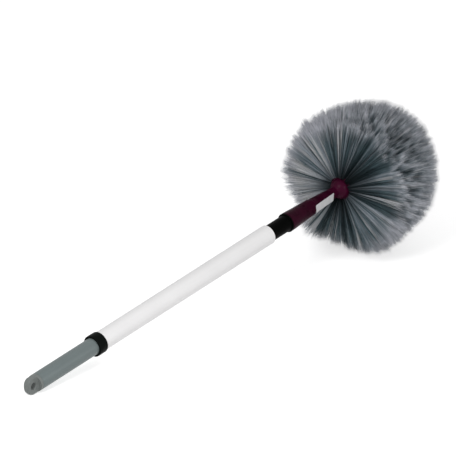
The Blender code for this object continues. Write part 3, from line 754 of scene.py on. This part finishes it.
def make_arm(material):
    arm = turned("plum_arm", arm_outline(), POLE, material)
    cut(arm, plate(fork_slot_outline(), TONGUE_THICKNESS + 2 * GAP, HEAD))
    cut(arm, pin_bore())
    depth = SHOULDER_RADIUS
    pocket = block((4 * SHOULDER_RADIUS, depth, LABEL_LENGTH), label_seat() @ at(y=-depth / 2))
    cut(arm, bevelled(pocket, 0.5 * MM, 3))
    stand_for(smooth(arm, 30), "outer_pole", "plum_plastic", "socket_arm")


def make_label(material):
    """The bare label: a thin strip with small round corners, stuck on the arm's flat."""
    length = LABEL_LENGTH - LABEL_CLEARANCE
    shape = bmesh.new()
    bmesh.ops.create_grid(shape, x_segments=8, y_segments=28, size=0.5)
    bmesh.ops.scale(shape, vec=(LABEL_WIDTH, length, 1.0), verts=shape.verts)
    half_width = LABEL_WIDTH / 2 - LABEL_CORNER
    half_length = length / 2 - LABEL_CORNER
    for vert in shape.verts:
        x, y = vert.co.x, vert.co.y
        over = Vector((abs(x) - half_width, abs(y) - half_length))
        if over.x > 0 and over.y > 0:
            scale = max(over.x, over.y) / over.length
            vert.co.x = math.copysign(half_width + over.x * scale, x)
            vert.co.y = math.copysign(half_length + over.y * scale, y)
    # The strip's grid lies in x and y. It stands up in the pocket's frame, on its flat.
    place = label_seat() @ at(y=-LABEL_LIFT) @ turn(LABEL_SKEW, "Y") @ turn(math.pi / 2, "X")
    label = made("blank_label", shape, place, material)
    wall = label.modifiers.new("thickness", "SOLIDIFY")
    wall.thickness = LABEL_THICKNESS
    wall.offset = 1.0
    bevelled(label, 0.06 * MM, 2)
    stand_for(smooth(label, 40), "outer_pole", "white_coat")


def make_pin(material):
    outline = rounded([
        (0.0, PIN_LENGTH),
        (PIN_RADIUS, PIN_LENGTH, 0.5 * MM),
        (PIN_RADIUS, 0.0, 0.5 * MM),
        (0.0, 0.0),
    ])
    place = HEAD @ at(y=PIN_START) @ turn(-math.pi / 2, "X")
    pin = turned("tilt_pin", outline, place, material, turns=FINE_TURNS)
    stand_for(pin, "outer_pole", "bright_steel", "pivot_pin")


def make_cup(material):
    edge = 0.6 * MM
    pilot = TIE_SCREW_RADIUS + GAP
    rim = math.degrees(math.asin(CUP_RIM / CAVITY_RADIUS))
    cavity = arc((0.0, 0.0), CAVITY_RADIUS, rim, 90, 30)
    cavity[-1] = (0.0, CAVITY_RADIUS)
    outline = [
        (0.0, SPINE_END - TIE_SCREW_PILOT),
        *rounded([
            (pilot, SPINE_END - TIE_SCREW_PILOT),
            (pilot, SPINE_END),
            (SPINE_RADIUS, SPINE_END, edge),
            (SPINE_RADIUS, CUP_FRONT, edge),
            (CUP_RADIUS, CUP_FRONT, edge),
            (CUP_RADIUS, CUP_RIM, 0.5 * MM),
            cavity[0],
        ]),
        *cavity[1:],
    ]
    cup = turned("joint_cup", outline, HEAD, material)
    eye = arc((0.0, 0.0), TONGUE_RADIUS, 180, 360, 33)
    root = (CAVITY_RADIUS + CUP_FRONT) / 2
    tongue = plate([(-TONGUE_RADIUS, root), *eye, (TONGUE_RADIUS, root)], TONGUE_THICKNESS, HEAD)
    cut(cup, tongue, "UNION")
    cut(cup, pin_bore())
    stand_for(smooth(cup, 30), "brush_head", "plum_plastic", "swivel_cup")


def make_tie_screw(material):
    """A pan-head screw with a cross recess."""
    head = 2 * TIE_SCREW_RADIUS
    outline = rounded([
        (0.0, TIE_SCREW_HEAD),
        (head, TIE_SCREW_HEAD, 1.5 * MM),
        (head, 0.0, 0.2 * MM),
        (TIE_SCREW_RADIUS, 0.0, 0.2 * MM),
        (TIE_SCREW_RADIUS, -TIE_SCREW_LENGTH, 1.2 * MM),
        (0.0, -TIE_SCREW_LENGTH),
    ])
    place = HEAD @ at(z=SPINE_END + GAP + NOSE_WEB + GAP)
    screw = turned("nose_screw", outline, place, material, turns=FINE_TURNS)
    for angle in (0.0, math.pi / 2):
        cut(screw, block(TIE_SCREW_SLOT, place @ at(z=TIE_SCREW_HEAD) @ turn(angle, "Z")))
    stand_for(smooth(screw, 30), "brush_head", "bright_steel", "tie_screw")


# Brush block

def block_radius(height):
    if height <= NOSE_START:
        return BLOCK_RADIUS
    return BLOCK_RADIUS * math.sqrt(1 - ((height - NOSE_START) / NOSE_REACH) ** 2)


def ring_spans():
    """The lower and upper height of each ring, from the pole's side."""
    spans = []
    cup = (CUP_RIM, NOSE_START - CUP_RIM, CUP_RINGS)
    nose = (NOSE_START, NOSE_LENGTH + GAP, NOSE_RINGS)
    for start, length, count in (cup, nose):
        pitch = length / count
        spans += [(start + pitch * i, start + pitch * (i + 1) - GAP) for i in range(count)]
    return spans


def make_ring(index, low, high, material):
    edge = 0.35 * MM
    if index < CUP_RINGS:
        outline = rounded([
            (BLOCK_RADIUS, high, edge),
            (BLOCK_RADIUS, low, 1.2 * MM if index == 0 else edge),
            (BLOCK_BORE, low, edge),
            (BLOCK_BORE, high, edge),
        ])
    else:
        steps = 7
        heights = [high + (low - high) * i / steps for i in range(steps + 1)]
        bore = SPINE_RADIUS + GAP
        outline = [(block_radius(height), height) for height in heights]
        outline += [(bore, low), (bore, high)]
        if index == LAST_RING:
            web = SPINE_END + GAP
            pilot = TIE_SCREW_RADIUS + GAP
            head = 2 * TIE_SCREW_RADIUS + GAP
            recess = web + NOSE_WEB
            outline.pop()
            outline += [(bore, web), (pilot, web), (pilot, recess), (head, recess), (head, high)]
    ring = turned(f"block_ring_{index + 1}", outline, HEAD, material)
    stand_for(ring, "brush_head", "plum_plastic", f"tuft_ring_{index + 1}")


# Tufts

# Rows, from the pole's side to the nose, as angles from the pole's back
REAR_ROW_ANGLE = 66 * DEG
FRONT_ROW_ANGLE = 171 * DEG
REAR_ROW_SWING = 12 * DEG
REAR_SWING_TURN = 231 * DEG
REAR_ROW_INSET = 1.3 * MM
REAR_ROW_HEIGHT = CUP_RIM + 0.3 * MM
ROWS_ON_RINGS = [1, 1, 1, 1, 2, 2, 3]

# Tufts in a row
HOLE_PITCH = 4.5 * MM
HOLE_RADIUS = 1.5 * MM
ROOT_DEPTH = 1.2 * MM
ANGLE_PLAY = 0.16
TURN_PLAY = 0.12
REACH = 1.052
REACH_PLAY = 0.008
FAN_SHARES = (0.74, 0.94)
DEPTH_SHARES = (0.8, 1.05)
OVERLAP = 1.05
REAR_OVERLAP = 1.25
BOW = 1.8 * MM
REAR_STRANDS = 360
FRONT_STRANDS = 190
SPARSE_SHARE = 0.3

# Sides of the head, by turn about the pole, that are paler or lighter as painted light, darker as
# painted shade, or looser
PALE_TURN = 84 * DEG
LOWER_PALE_TURN = 38 * DEG
LIT_TURN = 146 * DEG
LOWER_LIT_TURN = 299 * DEG
SHADED_TURN = 245 * DEG
LOWER_SHADED_TURN = 355 * DEG
SOFT_TURN = 60 * DEG
PALE_TINT = 0.45
LIT_TINT = 0.4
FRONT_TINT = -0.22
PALE_LIT_SHARE = 0.06
PALE_SIDE_PALE_LIT_SHARE = 0.75
LIT_SIDE_PALE_LIT_SHARE = 0.25

# Where the ball is pressed in or stands out: turn about the pole, angle from the pole's back and
# spread in degrees, with the depth in millimetres third
DENTS = [
    (202, 138, 4.0, 24),
    (163, 115, -2.8, 18),
    (150, 98, -2.6, 16),
    (129, 76, 2.5, 12),
    (102, 57, 3.0, 9),
    (68, 46, -11.0, 12),
    (35, 50, 6.0, 10),
    (4, 52, -12.0, 18),
    (343, 68, -3.0, 12),
    (316, 98, -10.0, 18),
    (290, 123, -5.0, 18),
]

# Filaments
TUFT_SOCKETS = {
    "Geometry": ["Geometry"],
    "Object": ["Strand"],
    "Float": ["Strand Radius", "Hole Radius", "Trim", "Flick", "Wisp Looseness"],
    "Vector": ["Ball Centre"],
    "Int": ["Wisps", "Seed"],
    "Material": ["Material"],
}
TUFT_VECTORS = ("across", "rise", "bow", "tip", "flick", "line")
TUFT_COUNTS = ("tuft", "strands")
STRAND_LEVELS = ((0.0, 1.0), (0.55, 1.0), (0.87, 0.68))
STRAND_WIDTHS = (0.75, 1.2)
WISP_PLAY = (0.15, 0.85)
WISP_RISE = 0.8
SOFT_LOOSENESS = 1.6
RISE_LOOSENESS = 1.6
TRIM_BEND = 1.2
WISP_TRIM = 0.5
LOWEST_TIPS = (0.3 * MM, 1.6 * MM)
FLOOR_CLEARANCE = 0.2 * MM
TUFT_LEVEL = 0.32
WISP_LEVEL = 0.46
STRAND_LEVEL = 0.22
LEVEL_CONTRAST = 1.9
MAP_MARGIN = 0.02
LIT_START = 0.24
SHADED_BEND = 1.4


def tuft_rows():
    """The rows of tufts as (ring, root radius, root height, number of tufts)."""
    rows = []
    for ring, (low, high) in enumerate(ring_spans()):
        count = ROWS_ON_RINGS[ring]
        heights = [low + (high - low) * (i + 0.5) / count for i in range(count)]
        roots = [(block_radius(height), height) for height in heights]
        if ring == LAST_RING:
            roots[-1] = ((2 * TIE_SCREW_RADIUS + block_radius(high)) / 2 + GAP, high)
        for radius, height in roots:
            rows.append((ring, radius, height, round(2 * math.pi * radius / HOLE_PITCH)))
    ring, radius, height, tufts = rows[0]
    rows[0] = (ring, radius - REAR_ROW_INSET, REAR_ROW_HEIGHT, tufts)
    return rows


def on_ball(turn_angle, angle):
    """A direction by its turn about the pole and its angle from the pole's back."""
    out = math.sin(angle)
    return Vector((math.cos(turn_angle) * out, math.sin(turn_angle) * out, -math.cos(angle)))


def ball_reach(direction):
    reach = BALL_RADIUS
    for turn_angle, angle, depth, spread in DENTS:
        away = direction.angle(on_ball(math.radians(turn_angle), math.radians(angle)))
        reach += depth * MM * math.exp(-((away / math.radians(spread)) ** 2))
    return reach


def toward(turn_angle, centre):
    """1 on the side at the centre angle, falling to 0 a quarter turn from it."""
    return max(0.0, math.cos(turn_angle - centre))


def tuft_tones(turn_angle, share):
    """How far a tuft is on the pale, the lit, the shaded and the soft side of the head. The pale
    and lit sides paint light into its colour, the shaded side paints shade.
    """
    rear = (1 - share) ** 2
    pale = toward(turn_angle, PALE_TURN) ** 5 + 0.5 * toward(turn_angle, LOWER_PALE_TURN) ** 8
    lit = toward(turn_angle, LIT_TURN) ** 5 + 0.6 * toward(turn_angle, LOWER_LIT_TURN) ** 4
    shaded = toward(turn_angle, SHADED_TURN) ** 3
    shaded += 0.7 * toward(turn_angle, LOWER_SHADED_TURN) ** 4
    soft = toward(turn_angle, SOFT_TURN) ** 2
    return rear * pale, rear * lit, rear * shaded, rear * soft


def make_tuft(dice, number, share, row_pitch, turn_angle, tufts, root_radius, root_height):
    """A tuft's root and what its filaments need. Its share goes from 0 in the rear row to 1 in the
    front row."""
    towards = math.cos(turn_angle - REAR_SWING_TURN)
    angle = REAR_ROW_ANGLE + (FRONT_ROW_ANGLE - REAR_ROW_ANGLE) * share
    angle += REAR_ROW_SWING * (1 - share) * towards
    angle += row_pitch * ANGLE_PLAY * dice.uniform(-1, 1)
    tip_turn = turn_angle + 2 * math.pi / tufts * TURN_PLAY * dice.uniform(-1, 1)
    direction = on_ball(tip_turn, angle)
    reach = ball_reach(direction) * (REACH + REACH_PLAY * dice.uniform(-1, 1))
    across = Vector((-math.sin(tip_turn), math.cos(tip_turn), 0.0))
    rise = across.cross(direction)
    tip = direction * reach + BALL_CENTRE
    out = Vector((math.cos(turn_angle), math.sin(turn_angle), 0.0))
    root = out * root_radius + Vector((0.0, 0.0, root_height))
    strands = REAR_STRANDS + (FRONT_STRANDS - REAR_STRANDS) * min(1.0, share * 1.6)
    thin = (1 - share) ** 3 * max(0.0, -towards)
    closed = OVERLAP if share else REAR_OVERLAP
    half_pitch = math.pi * reach * math.sin(angle) / tufts
    fan = half_pitch * dice.uniform(*FAN_SHARES) * closed
    edges = [ball_reach((direction * reach + across * side * fan).normalized()) for side in (-1, 1)]
    bow = (rise * dice.uniform(-1, 1) + across * dice.uniform(-1, 1)) * BOW
    depth = reach * row_pitch / 2 * dice.uniform(*DEPTH_SHARES) * closed
    pale, lit, shaded, soft = tuft_tones(turn_angle, share)
    # Painted light: tufts on the pale and lit sides take a lighter tint.
    tint = dice.uniform(0.0, 1.0) + PALE_TINT * pale + LIT_TINT * lit
    return root - (tip - root).normalized() * ROOT_DEPTH, {
        "tip": tip,
        "across": across,
        "rise": rise,
        "bow": bow,
        "fan": fan,
        "depth": depth,
        "reach": reach,
        "slope": (edges[1] - edges[0]) / 2,
        "tint": tint + FRONT_TINT * min(1.0, share * 3),
        "bleached": PALE_LIT_SHARE + PALE_SIDE_PALE_LIT_SHARE * pale + LIT_SIDE_PALE_LIT_SHARE * lit,
        "lit": lit,
        "shaded": shaded,
        "soft": soft,
        "tuft": number,
        "strands": round(strands * (1 - SPARSE_SHARE * thin)),
    }


def tufts_by_ring():
    dice = random.Random(7)
    rows = tuft_rows()
    row_pitch = (FRONT_ROW_ANGLE - REAR_ROW_ANGLE) / (len(rows) - 1)
    rings = [[] for _ in range(LAST_RING + 1)]
    number = 0
    for index, (ring, root_radius, root_height, tufts) in enumerate(rows):
        share = index / (len(rows) - 1)
        shift = 0.5 if index % 2 == 0 else 0.0
        for i in range(tufts):
            turn_angle = 2 * math.pi * (i + shift) / tufts
            place = (turn_angle, tufts, root_radius, root_height)
            rings[ring].append(make_tuft(dice, number, share, row_pitch, *place))
            number += 1
    return rings


def make_strand():
    """One filament of unit length along z: three sides, tapering to a closed point."""
    angles = [2 * math.pi * i / 3 for i in range(3)]
    shape = bmesh.new()
    rings = []
    for height, radius in STRAND_LEVELS:
        places = [(radius * math.cos(a), radius * math.sin(a), height) for a in angles]
        rings.append([shape.verts.new(place) for place in places])
    tip = shape.verts.new((0.0, 0.0, 1.0))
    shape.faces.new(reversed(rings[0]))
    sides = ((0, 1), (1, 2), (2, 0))
    for lower, upper in zip(rings, rings[1:]):
        for i, j in sides:
            shape.faces.new((lower[i], lower[j], upper[j], upper[i]))
    for i, j in sides:
        shape.faces.new((rings[-1][i], rings[-1][j], tip))
    strand = made("strand", shape)
    mesh = strand.data
    mesh.shade_smooth()
    along = mesh.attributes.new("along", "FLOAT", "POINT")
    along.data.foreach_set("value", [v.co.z for v in mesh.vertices])
    around = mesh.attributes.new("around", "FLOAT", "CORNER")
    around.data.foreach_set("value", [(i % 4) / 3 for i in range(len(mesh.loops))])
    return strand


def kind_of(name):
    """The kind of the tufts' attribute with this name."""
    if name in TUFT_VECTORS:
        return "FLOAT_VECTOR"
    return "INT" if name in TUFT_COUNTS else "FLOAT"


class TuftNet(Net):
    """The tree that fills each tuft point with filaments, from its hole out to the ball."""

    def __init__(self):
        super().__init__(bpy.data.node_groups.new("tuft_filler", "GeometryNodeTree"))
        face = self.tree.interface
        for kind, names in TUFT_SOCKETS.items():
            for name in names:
                face.new_socket(name, in_out="INPUT", socket_type=f"NodeSocket{kind}")
        face.new_socket("Geometry", in_out="OUTPUT", socket_type="NodeSocketGeometry")
        start = self.node("NodeGroupInput")
        self.given = {s.name: Socket(self, s) for s in start.outputs if s.name}
        wisps = self.given["Wisps"]
        self.wisp = self.chance(0, wisps - 1, 1, kind="INT")
        self.wisp_id = self.attribute("tuft") * wisps + self.wisp

    def fill(self):
        filaments = self.mapped(self.bent(self.straight()))
        dressed = {"Geometry": filaments, "Material": self.given["Material"]}
        self.node("NodeGroupOutput", {}, {0: self.out("GeometryNodeSetMaterial", {}, dressed)})
        return self.tree

    def attribute(self, name):
        settings = {"data_type": kind_of(name)}
        return self.out("GeometryNodeInputNamedAttribute", settings, {"Name": name})

    def chance(self, low, high, seed, identity=None, kind="FLOAT"):
        """A random value for each point. Its seed is the tree's seed and its own."""
        node = self.node("FunctionNodeRandomValue", {"data_type": kind})
        suffix = {"FLOAT": "_001", "INT": "_002"}[kind]
        sockets = {s.identifier: s for s in (*node.inputs, *node.outputs)}
        self.feed(sockets["Min" + suffix], low)
        self.feed(sockets["Max" + suffix], high)
        self.feed(sockets["Seed"], self.given["Seed"] + seed)
        if identity:
            self.feed(sockets["ID"], identity)
        return Socket(self, sockets["Value" + suffix])

    def store(self, geometry, name, value, kind=None, domain="POINT"):
        settings = {"data_type": kind or kind_of(name), "domain": domain}
        inputs = {"Geometry": geometry, "Name": name, "Value": value}
        return self.out("GeometryNodeStoreNamedAttribute", settings, inputs)

    def moved(self, geometry, **where):
        return self.out("GeometryNodeSetPosition", {}, {"Geometry": geometry, **where})

    def ends(self):
        """Where each filament leaves its hole and where it ends. Each belongs to a wisp."""
        given = self.given
        across = self.attribute("across")
        rise = self.attribute("rise")
        wisp_across = self.wisp + self.chance(*WISP_PLAY, 2, self.wisp_id)
        wisp_across = wisp_across / given["Wisps"] * 2.0 - 1.0
        wisp_rise = self.chance(-1.0, 1.0, 3, self.wisp_id)
        loose = given["Wisp Looseness"] * (1.0 + self.attribute("soft") * SOFT_LOOSENESS)
        across_share = wisp_across + self.chance(-1.0, 1.0, 4) * loose
        rise_share = wisp_rise * WISP_RISE + self.chance(-1.0, 1.0, 5) * loose * RISE_LOOSENESS

        hole = given["Hole Radius"]
        root = self.out("GeometryNodeInputPosition")
        root = root + across * (across_share * hole) + rise * (rise_share * hole)

        centre = given["Ball Centre"]
        aim = self.attribute("tip") + across * (across_share * self.attribute("fan"))
        aim = aim + rise * (rise_share * self.attribute("depth"))
        outward = self.out("ShaderNodeVectorMath", {"operation": "NORMALIZE"}, {0: aim - centre})
        short = self.chance(0.0, 1.0, 6) ** TRIM_BEND
        short = short + self.chance(0.0, WISP_TRIM, 7, self.wisp_id)
        reach = self.attribute("reach") + across_share * self.attribute("slope")
        x, y, z = self.parts(centre + outward * (reach * (1.0 - short * given["Trim"])))
        return root, self.vector(x, y, z.most(self.chance(*LOWEST_TIPS, 8)))

    def level(self):
        """Each filament's tint, from 0 to 1. Chance takes a wisp's as well as a filament's."""
        level = self.attribute("tint") * TUFT_LEVEL
        level = level + self.chance(0.0, 1.0, 9, self.wisp_id) * WISP_LEVEL
        level = level + self.chance(0.0, 1.0, 10) * STRAND_LEVEL
        level = ((level - 0.5) * LEVEL_CONTRAST + 0.5).most(0.0).least(1.0)
        # Pale filaments: partly their own colour, partly painted highlight, with more of them on
        # the pale and lit sides.
        bleached = self.chance(0.0, 1.0, 15, self.wisp_id).below(self.attribute("bleached"))
        pale_level = level * (1.0 - PALE_LIT_TINTS_FROM) + PALE_LIT_TINTS_FROM
        return level * PLAIN_TINTS_TO * (1.0 - bleached) + pale_level * bleached

    def straight(self):
        root, tip = self.ends()
        line = tip - root
        length = self.out("ShaderNodeVectorMath", {"operation": "LENGTH"}, {0: line}, "Value")
        flick = [self.chance(-1.0, 1.0, 11 + i) * self.given["Flick"] for i in range(3)]
        tufts = {"Geometry": self.given["Geometry"], "Amount": self.attribute("strands")}
        points = self.out("GeometryNodeDuplicateElements", {"domain": "POINT"}, tufts)
        points = self.store(points, "level", self.level())
        points = self.store(points, "flick", self.vector(*flick))
        points = self.store(points, "line", line)
        points = self.store(points, "long", length)
        strand = {"Object": self.given["Strand"]}
        aim = {"Vector": self.attribute("line")}
        width = self.given["Strand Radius"] * self.chance(*STRAND_WIDTHS, 14)
        placed = {
            "Points": self.moved(points, Position=root),
            "Instance": self.out("GeometryNodeObjectInfo", {}, strand, "Geometry"),
            "Rotation": self.out("FunctionNodeAlignRotationToVector", {"axis": "Z"}, aim),
            "Scale": self.vector(width, width, self.attribute("long")),
        }
        copies = self.out("GeometryNodeInstanceOnPoints", {}, placed)
        return self.out("GeometryNodeRealizeInstances", {}, {0: copies})

    def bent(self, filaments):
        """Filaments bow with their tuft, their tips go their own way, and the floor holds them."""
        along = self.attribute("along")
        bow = self.attribute("bow") * (along * (1.0 - along) * 4.0)
        flicked = self.attribute("flick") * along ** 3.0
        bent = self.moved(filaments, Offset=bow + flicked)
        x, y, z = self.parts(self.out("GeometryNodeInputPosition"))
        return self.moved(bent, Position=self.vector(x, y, z.most(FLOOR_CLEARANCE)))

    def mapped(self, filaments):
        """Writes each filament's tint and the way from root to tip into the map."""
        # Painted light and shade: on lit sides the way starts higher, so the roots are less dark;
        # on shaded sides it bends, so the dark roots reach further.
        start = MAP_MARGIN + self.attribute("lit") * LIT_START
        bend = 1.0 + self.attribute("shaded") * SHADED_BEND
        up = start + (1.0 - MAP_MARGIN - start) * self.attribute("along") ** bend
        across = MAP_MARGIN + self.attribute("level") * 0.93 + self.attribute("around") * 0.03
        return self.store(filaments, FILAMENT_MAP, self.vector(across, up, 0.0), "FLOAT2", "CORNER")


def tuft_points(name, tufts):
    """A mesh with a point at each tuft's root, in place on the head, that carries its values."""
    roots, values = zip(*tufts)
    mesh = bpy.data.meshes.new(name)
    mesh.from_pydata([HEAD @ root for root in roots], [], [])
    for key in values[0]:
        layer = mesh.attributes.new(key, kind_of(key), "POINT")
        column = [tuft[key] for tuft in values]
        if key in TUFT_VECTORS:
            matrix = HEAD if key == "tip" else HEAD.to_3x3()
            layer.data.foreach_set("vector", [c for vector in column for c in matrix @ vector])
        else:
            layer.data.foreach_set("value", column)
    return add_object(name, mesh)


def fill_tufts(index, tufts, tree, strand, material):
    """The filaments of one ring as a plain mesh."""
    points = tuft_points(f"tufts_{index + 1}", tufts)
    modifier = points.modifiers.new("fill", "NODES")
    modifier.node_group = tree
    items = [item for item in tree.interface.items_tree if item.in_out == "INPUT"]
    sockets = {item.name: item.identifier for item in items}
    values = {
        "Strand": strand,
        "Strand Radius": 0.2 * MM,
        "Hole Radius": HOLE_RADIUS,
        "Ball Centre": tuple(HEAD @ BALL_CENTRE),
        "Trim": 0.095,
        "Flick": 1.6 * MM,
        "Wisps": 22,
        "Wisp Looseness": 0.14,
        "Seed": 40 + 20 * index,
        "Material": material,
    }
    for name, value in values.items():
        modifier[sockets[name]] = value
    settle(points)
    mesh = points.data
    kept = {FILAMENT_MAP, "position", "material_index", "sharp_face"}
    for name in [layer.name for layer in mesh.attributes]:
        if name not in kept and not name.startswith("."):
            mesh.attributes.remove(mesh.attributes[name])
    stand_for(points, "brush_head", "bristle", f"tuft_ring_{index + 1}")


def make_tufts(material):
    strand = make_strand()
    tree = TuftNet().fill()
    for index, tufts in enumerate(tufts_by_ring()):
        fill_tufts(index, tufts, tree, strand, material)
    bpy.data.objects.remove(strand, do_unlink=True)


# Stage

FLOOR_RADIUS = 30.0
FLOOR_DROP = 0.3 * MM
FLOOR_COLOUR = (0.80, 0.80, 0.80, 1.0)
WHITE_LIGHT = (1.0, 1.0, 1.0, 1.0)
FLOOR_GLOW = 0.62
SKY_LIGHT = 0.43
LAMP_AIM = Vector((0.15, 0.0, 0.08))

# Name, place, size and power
LAMPS = [
    ("key", (-1.7, -0.5, 1.6), 0.9, 22.5),
    ("fill", (0.2, -2.2, 0.9), 1.2, 15.0),
]


def floor_finish():
    """White to the camera, with the shadow that the lamps cast on it."""
    finish = Finish("floor")
    finish.tree.nodes.remove(finish.shader)
    matt = finish.out("ShaderNodeBsdfDiffuse", {}, {"Color": FLOOR_COLOUR})
    light = {"Color": WHITE_LIGHT, "Strength": finish.seen() * FLOOR_GLOW}
    glow = finish.out("ShaderNodeEmission", {}, light)
    out = next(n for n in finish.tree.nodes if n.type == "OUTPUT_MATERIAL")
    finish.feed(out.inputs["Surface"], finish.out("ShaderNodeAddShader", {}, {0: matt, 1: glow}))
    return finish.material


def make_floor():
    shape = bmesh.new()
    bmesh.ops.create_circle(shape, cap_ends=True, segments=64, radius=FLOOR_RADIUS)
    floor = made("floor", shape, material=floor_finish())
    floor.location = (0.0, 0.0, -FLOOR_DROP)


def make_world():
    """A plain studio, white where it is seen itself."""
    world = bpy.data.worlds.new("studio")
    bpy.context.scene.world = world
    world.use_nodes = True
    net = Net(world.node_tree)
    background = world.node_tree.nodes["Background"]
    net.feed(background.inputs["Color"], WHITE_LIGHT)
    net.feed(background.inputs["Strength"], SKY_LIGHT + net.seen() * (1.0 - SKY_LIGHT))


def make_lamps():
    for name, place, size, power in LAMPS:
        lamp = bpy.data.lights.new(name, "AREA")
        lamp.shape = "DISK"
        lamp.size = size
        lamp.energy = power
        obj = add_object(name, lamp)
        obj.location = place
        obj.rotation_euler = (LAMP_AIM - Vector(place)).to_track_quat("-Z", "Y").to_euler()


# Camera, set by the photograph's own measures

VIEW_TURN = 48.85 * DEG
VIEW_ELEVATION = 22.05 * DEG
PIXEL = 1.225 * MM
PICTURE = 458
LENS = 1500.0
SENSOR = 36.0
KNOB_PIXEL = (340.8, 187.9)


def make_camera():
    level = Vector((math.sin(VIEW_TURN), math.cos(VIEW_TURN), 0.0))
    forward = level * math.cos(VIEW_ELEVATION) - Vector((0.0, 0.0, math.sin(VIEW_ELEVATION)))
    right = forward.cross(Vector((0.0, 0.0, 1.0))).normalized()
    up = right.cross(forward)
    distance = PICTURE * PIXEL * LENS / SENSOR
    aside = (KNOB_PIXEL[0] - PICTURE / 2) * PIXEL
    above = (PICTURE / 2 - KNOB_PIXEL[1]) * PIXEL
    middle = KNOB - right * aside - up * above
    camera = bpy.data.cameras.new("camera")
    camera.lens = LENS
    camera.sensor_width = SENSOR
    camera.clip_end = 100.0
    obj = add_object("camera", camera)
    obj.location = middle - forward * distance
    obj.rotation_euler = Matrix((right, up, -forward)).transposed().to_euler()
    bpy.context.scene.camera = obj


def dress_nodes(finishes):
    """The lock's solids keep their CAD shape and get the finer finishes."""
    dressed = {
        "lock_plug": "natural_nylon",
        "lock_expander": "black_plastic",
        "lock_retainer": "natural_nylon",
        "retainer_screw": "bright_steel",
    }
    for name, slot in dressed.items():
        node = frame["nodes"][name]
        node.data.materials.clear()
        node.data.materials.append(finishes[slot])


def build():
    black = black_plastic()
    plum = plum_plastic()
    steel = bright_steel()
    make_camera()
    make_outer_tube(white_coat())
    make_inner_tube(grey_coat())
    make_collar(black)
    make_end_cap(grey_plastic())
    make_adaptor(black)
    make_arm(plum)
    make_label(label_vinyl())
    make_pin(steel)
    make_cup(plum)
    make_tie_screw(steel)
    for index, (low, high) in enumerate(ring_spans()):
        make_ring(index, low, high, plum)
    make_tufts(filament())
    dress_nodes({"natural_nylon": nylon(), "black_plastic": black, "bright_steel": steel})
    make_floor()
    make_world()
    make_lamps()
    bpy.context.scene.view_settings.view_transform = "Standard"


build()
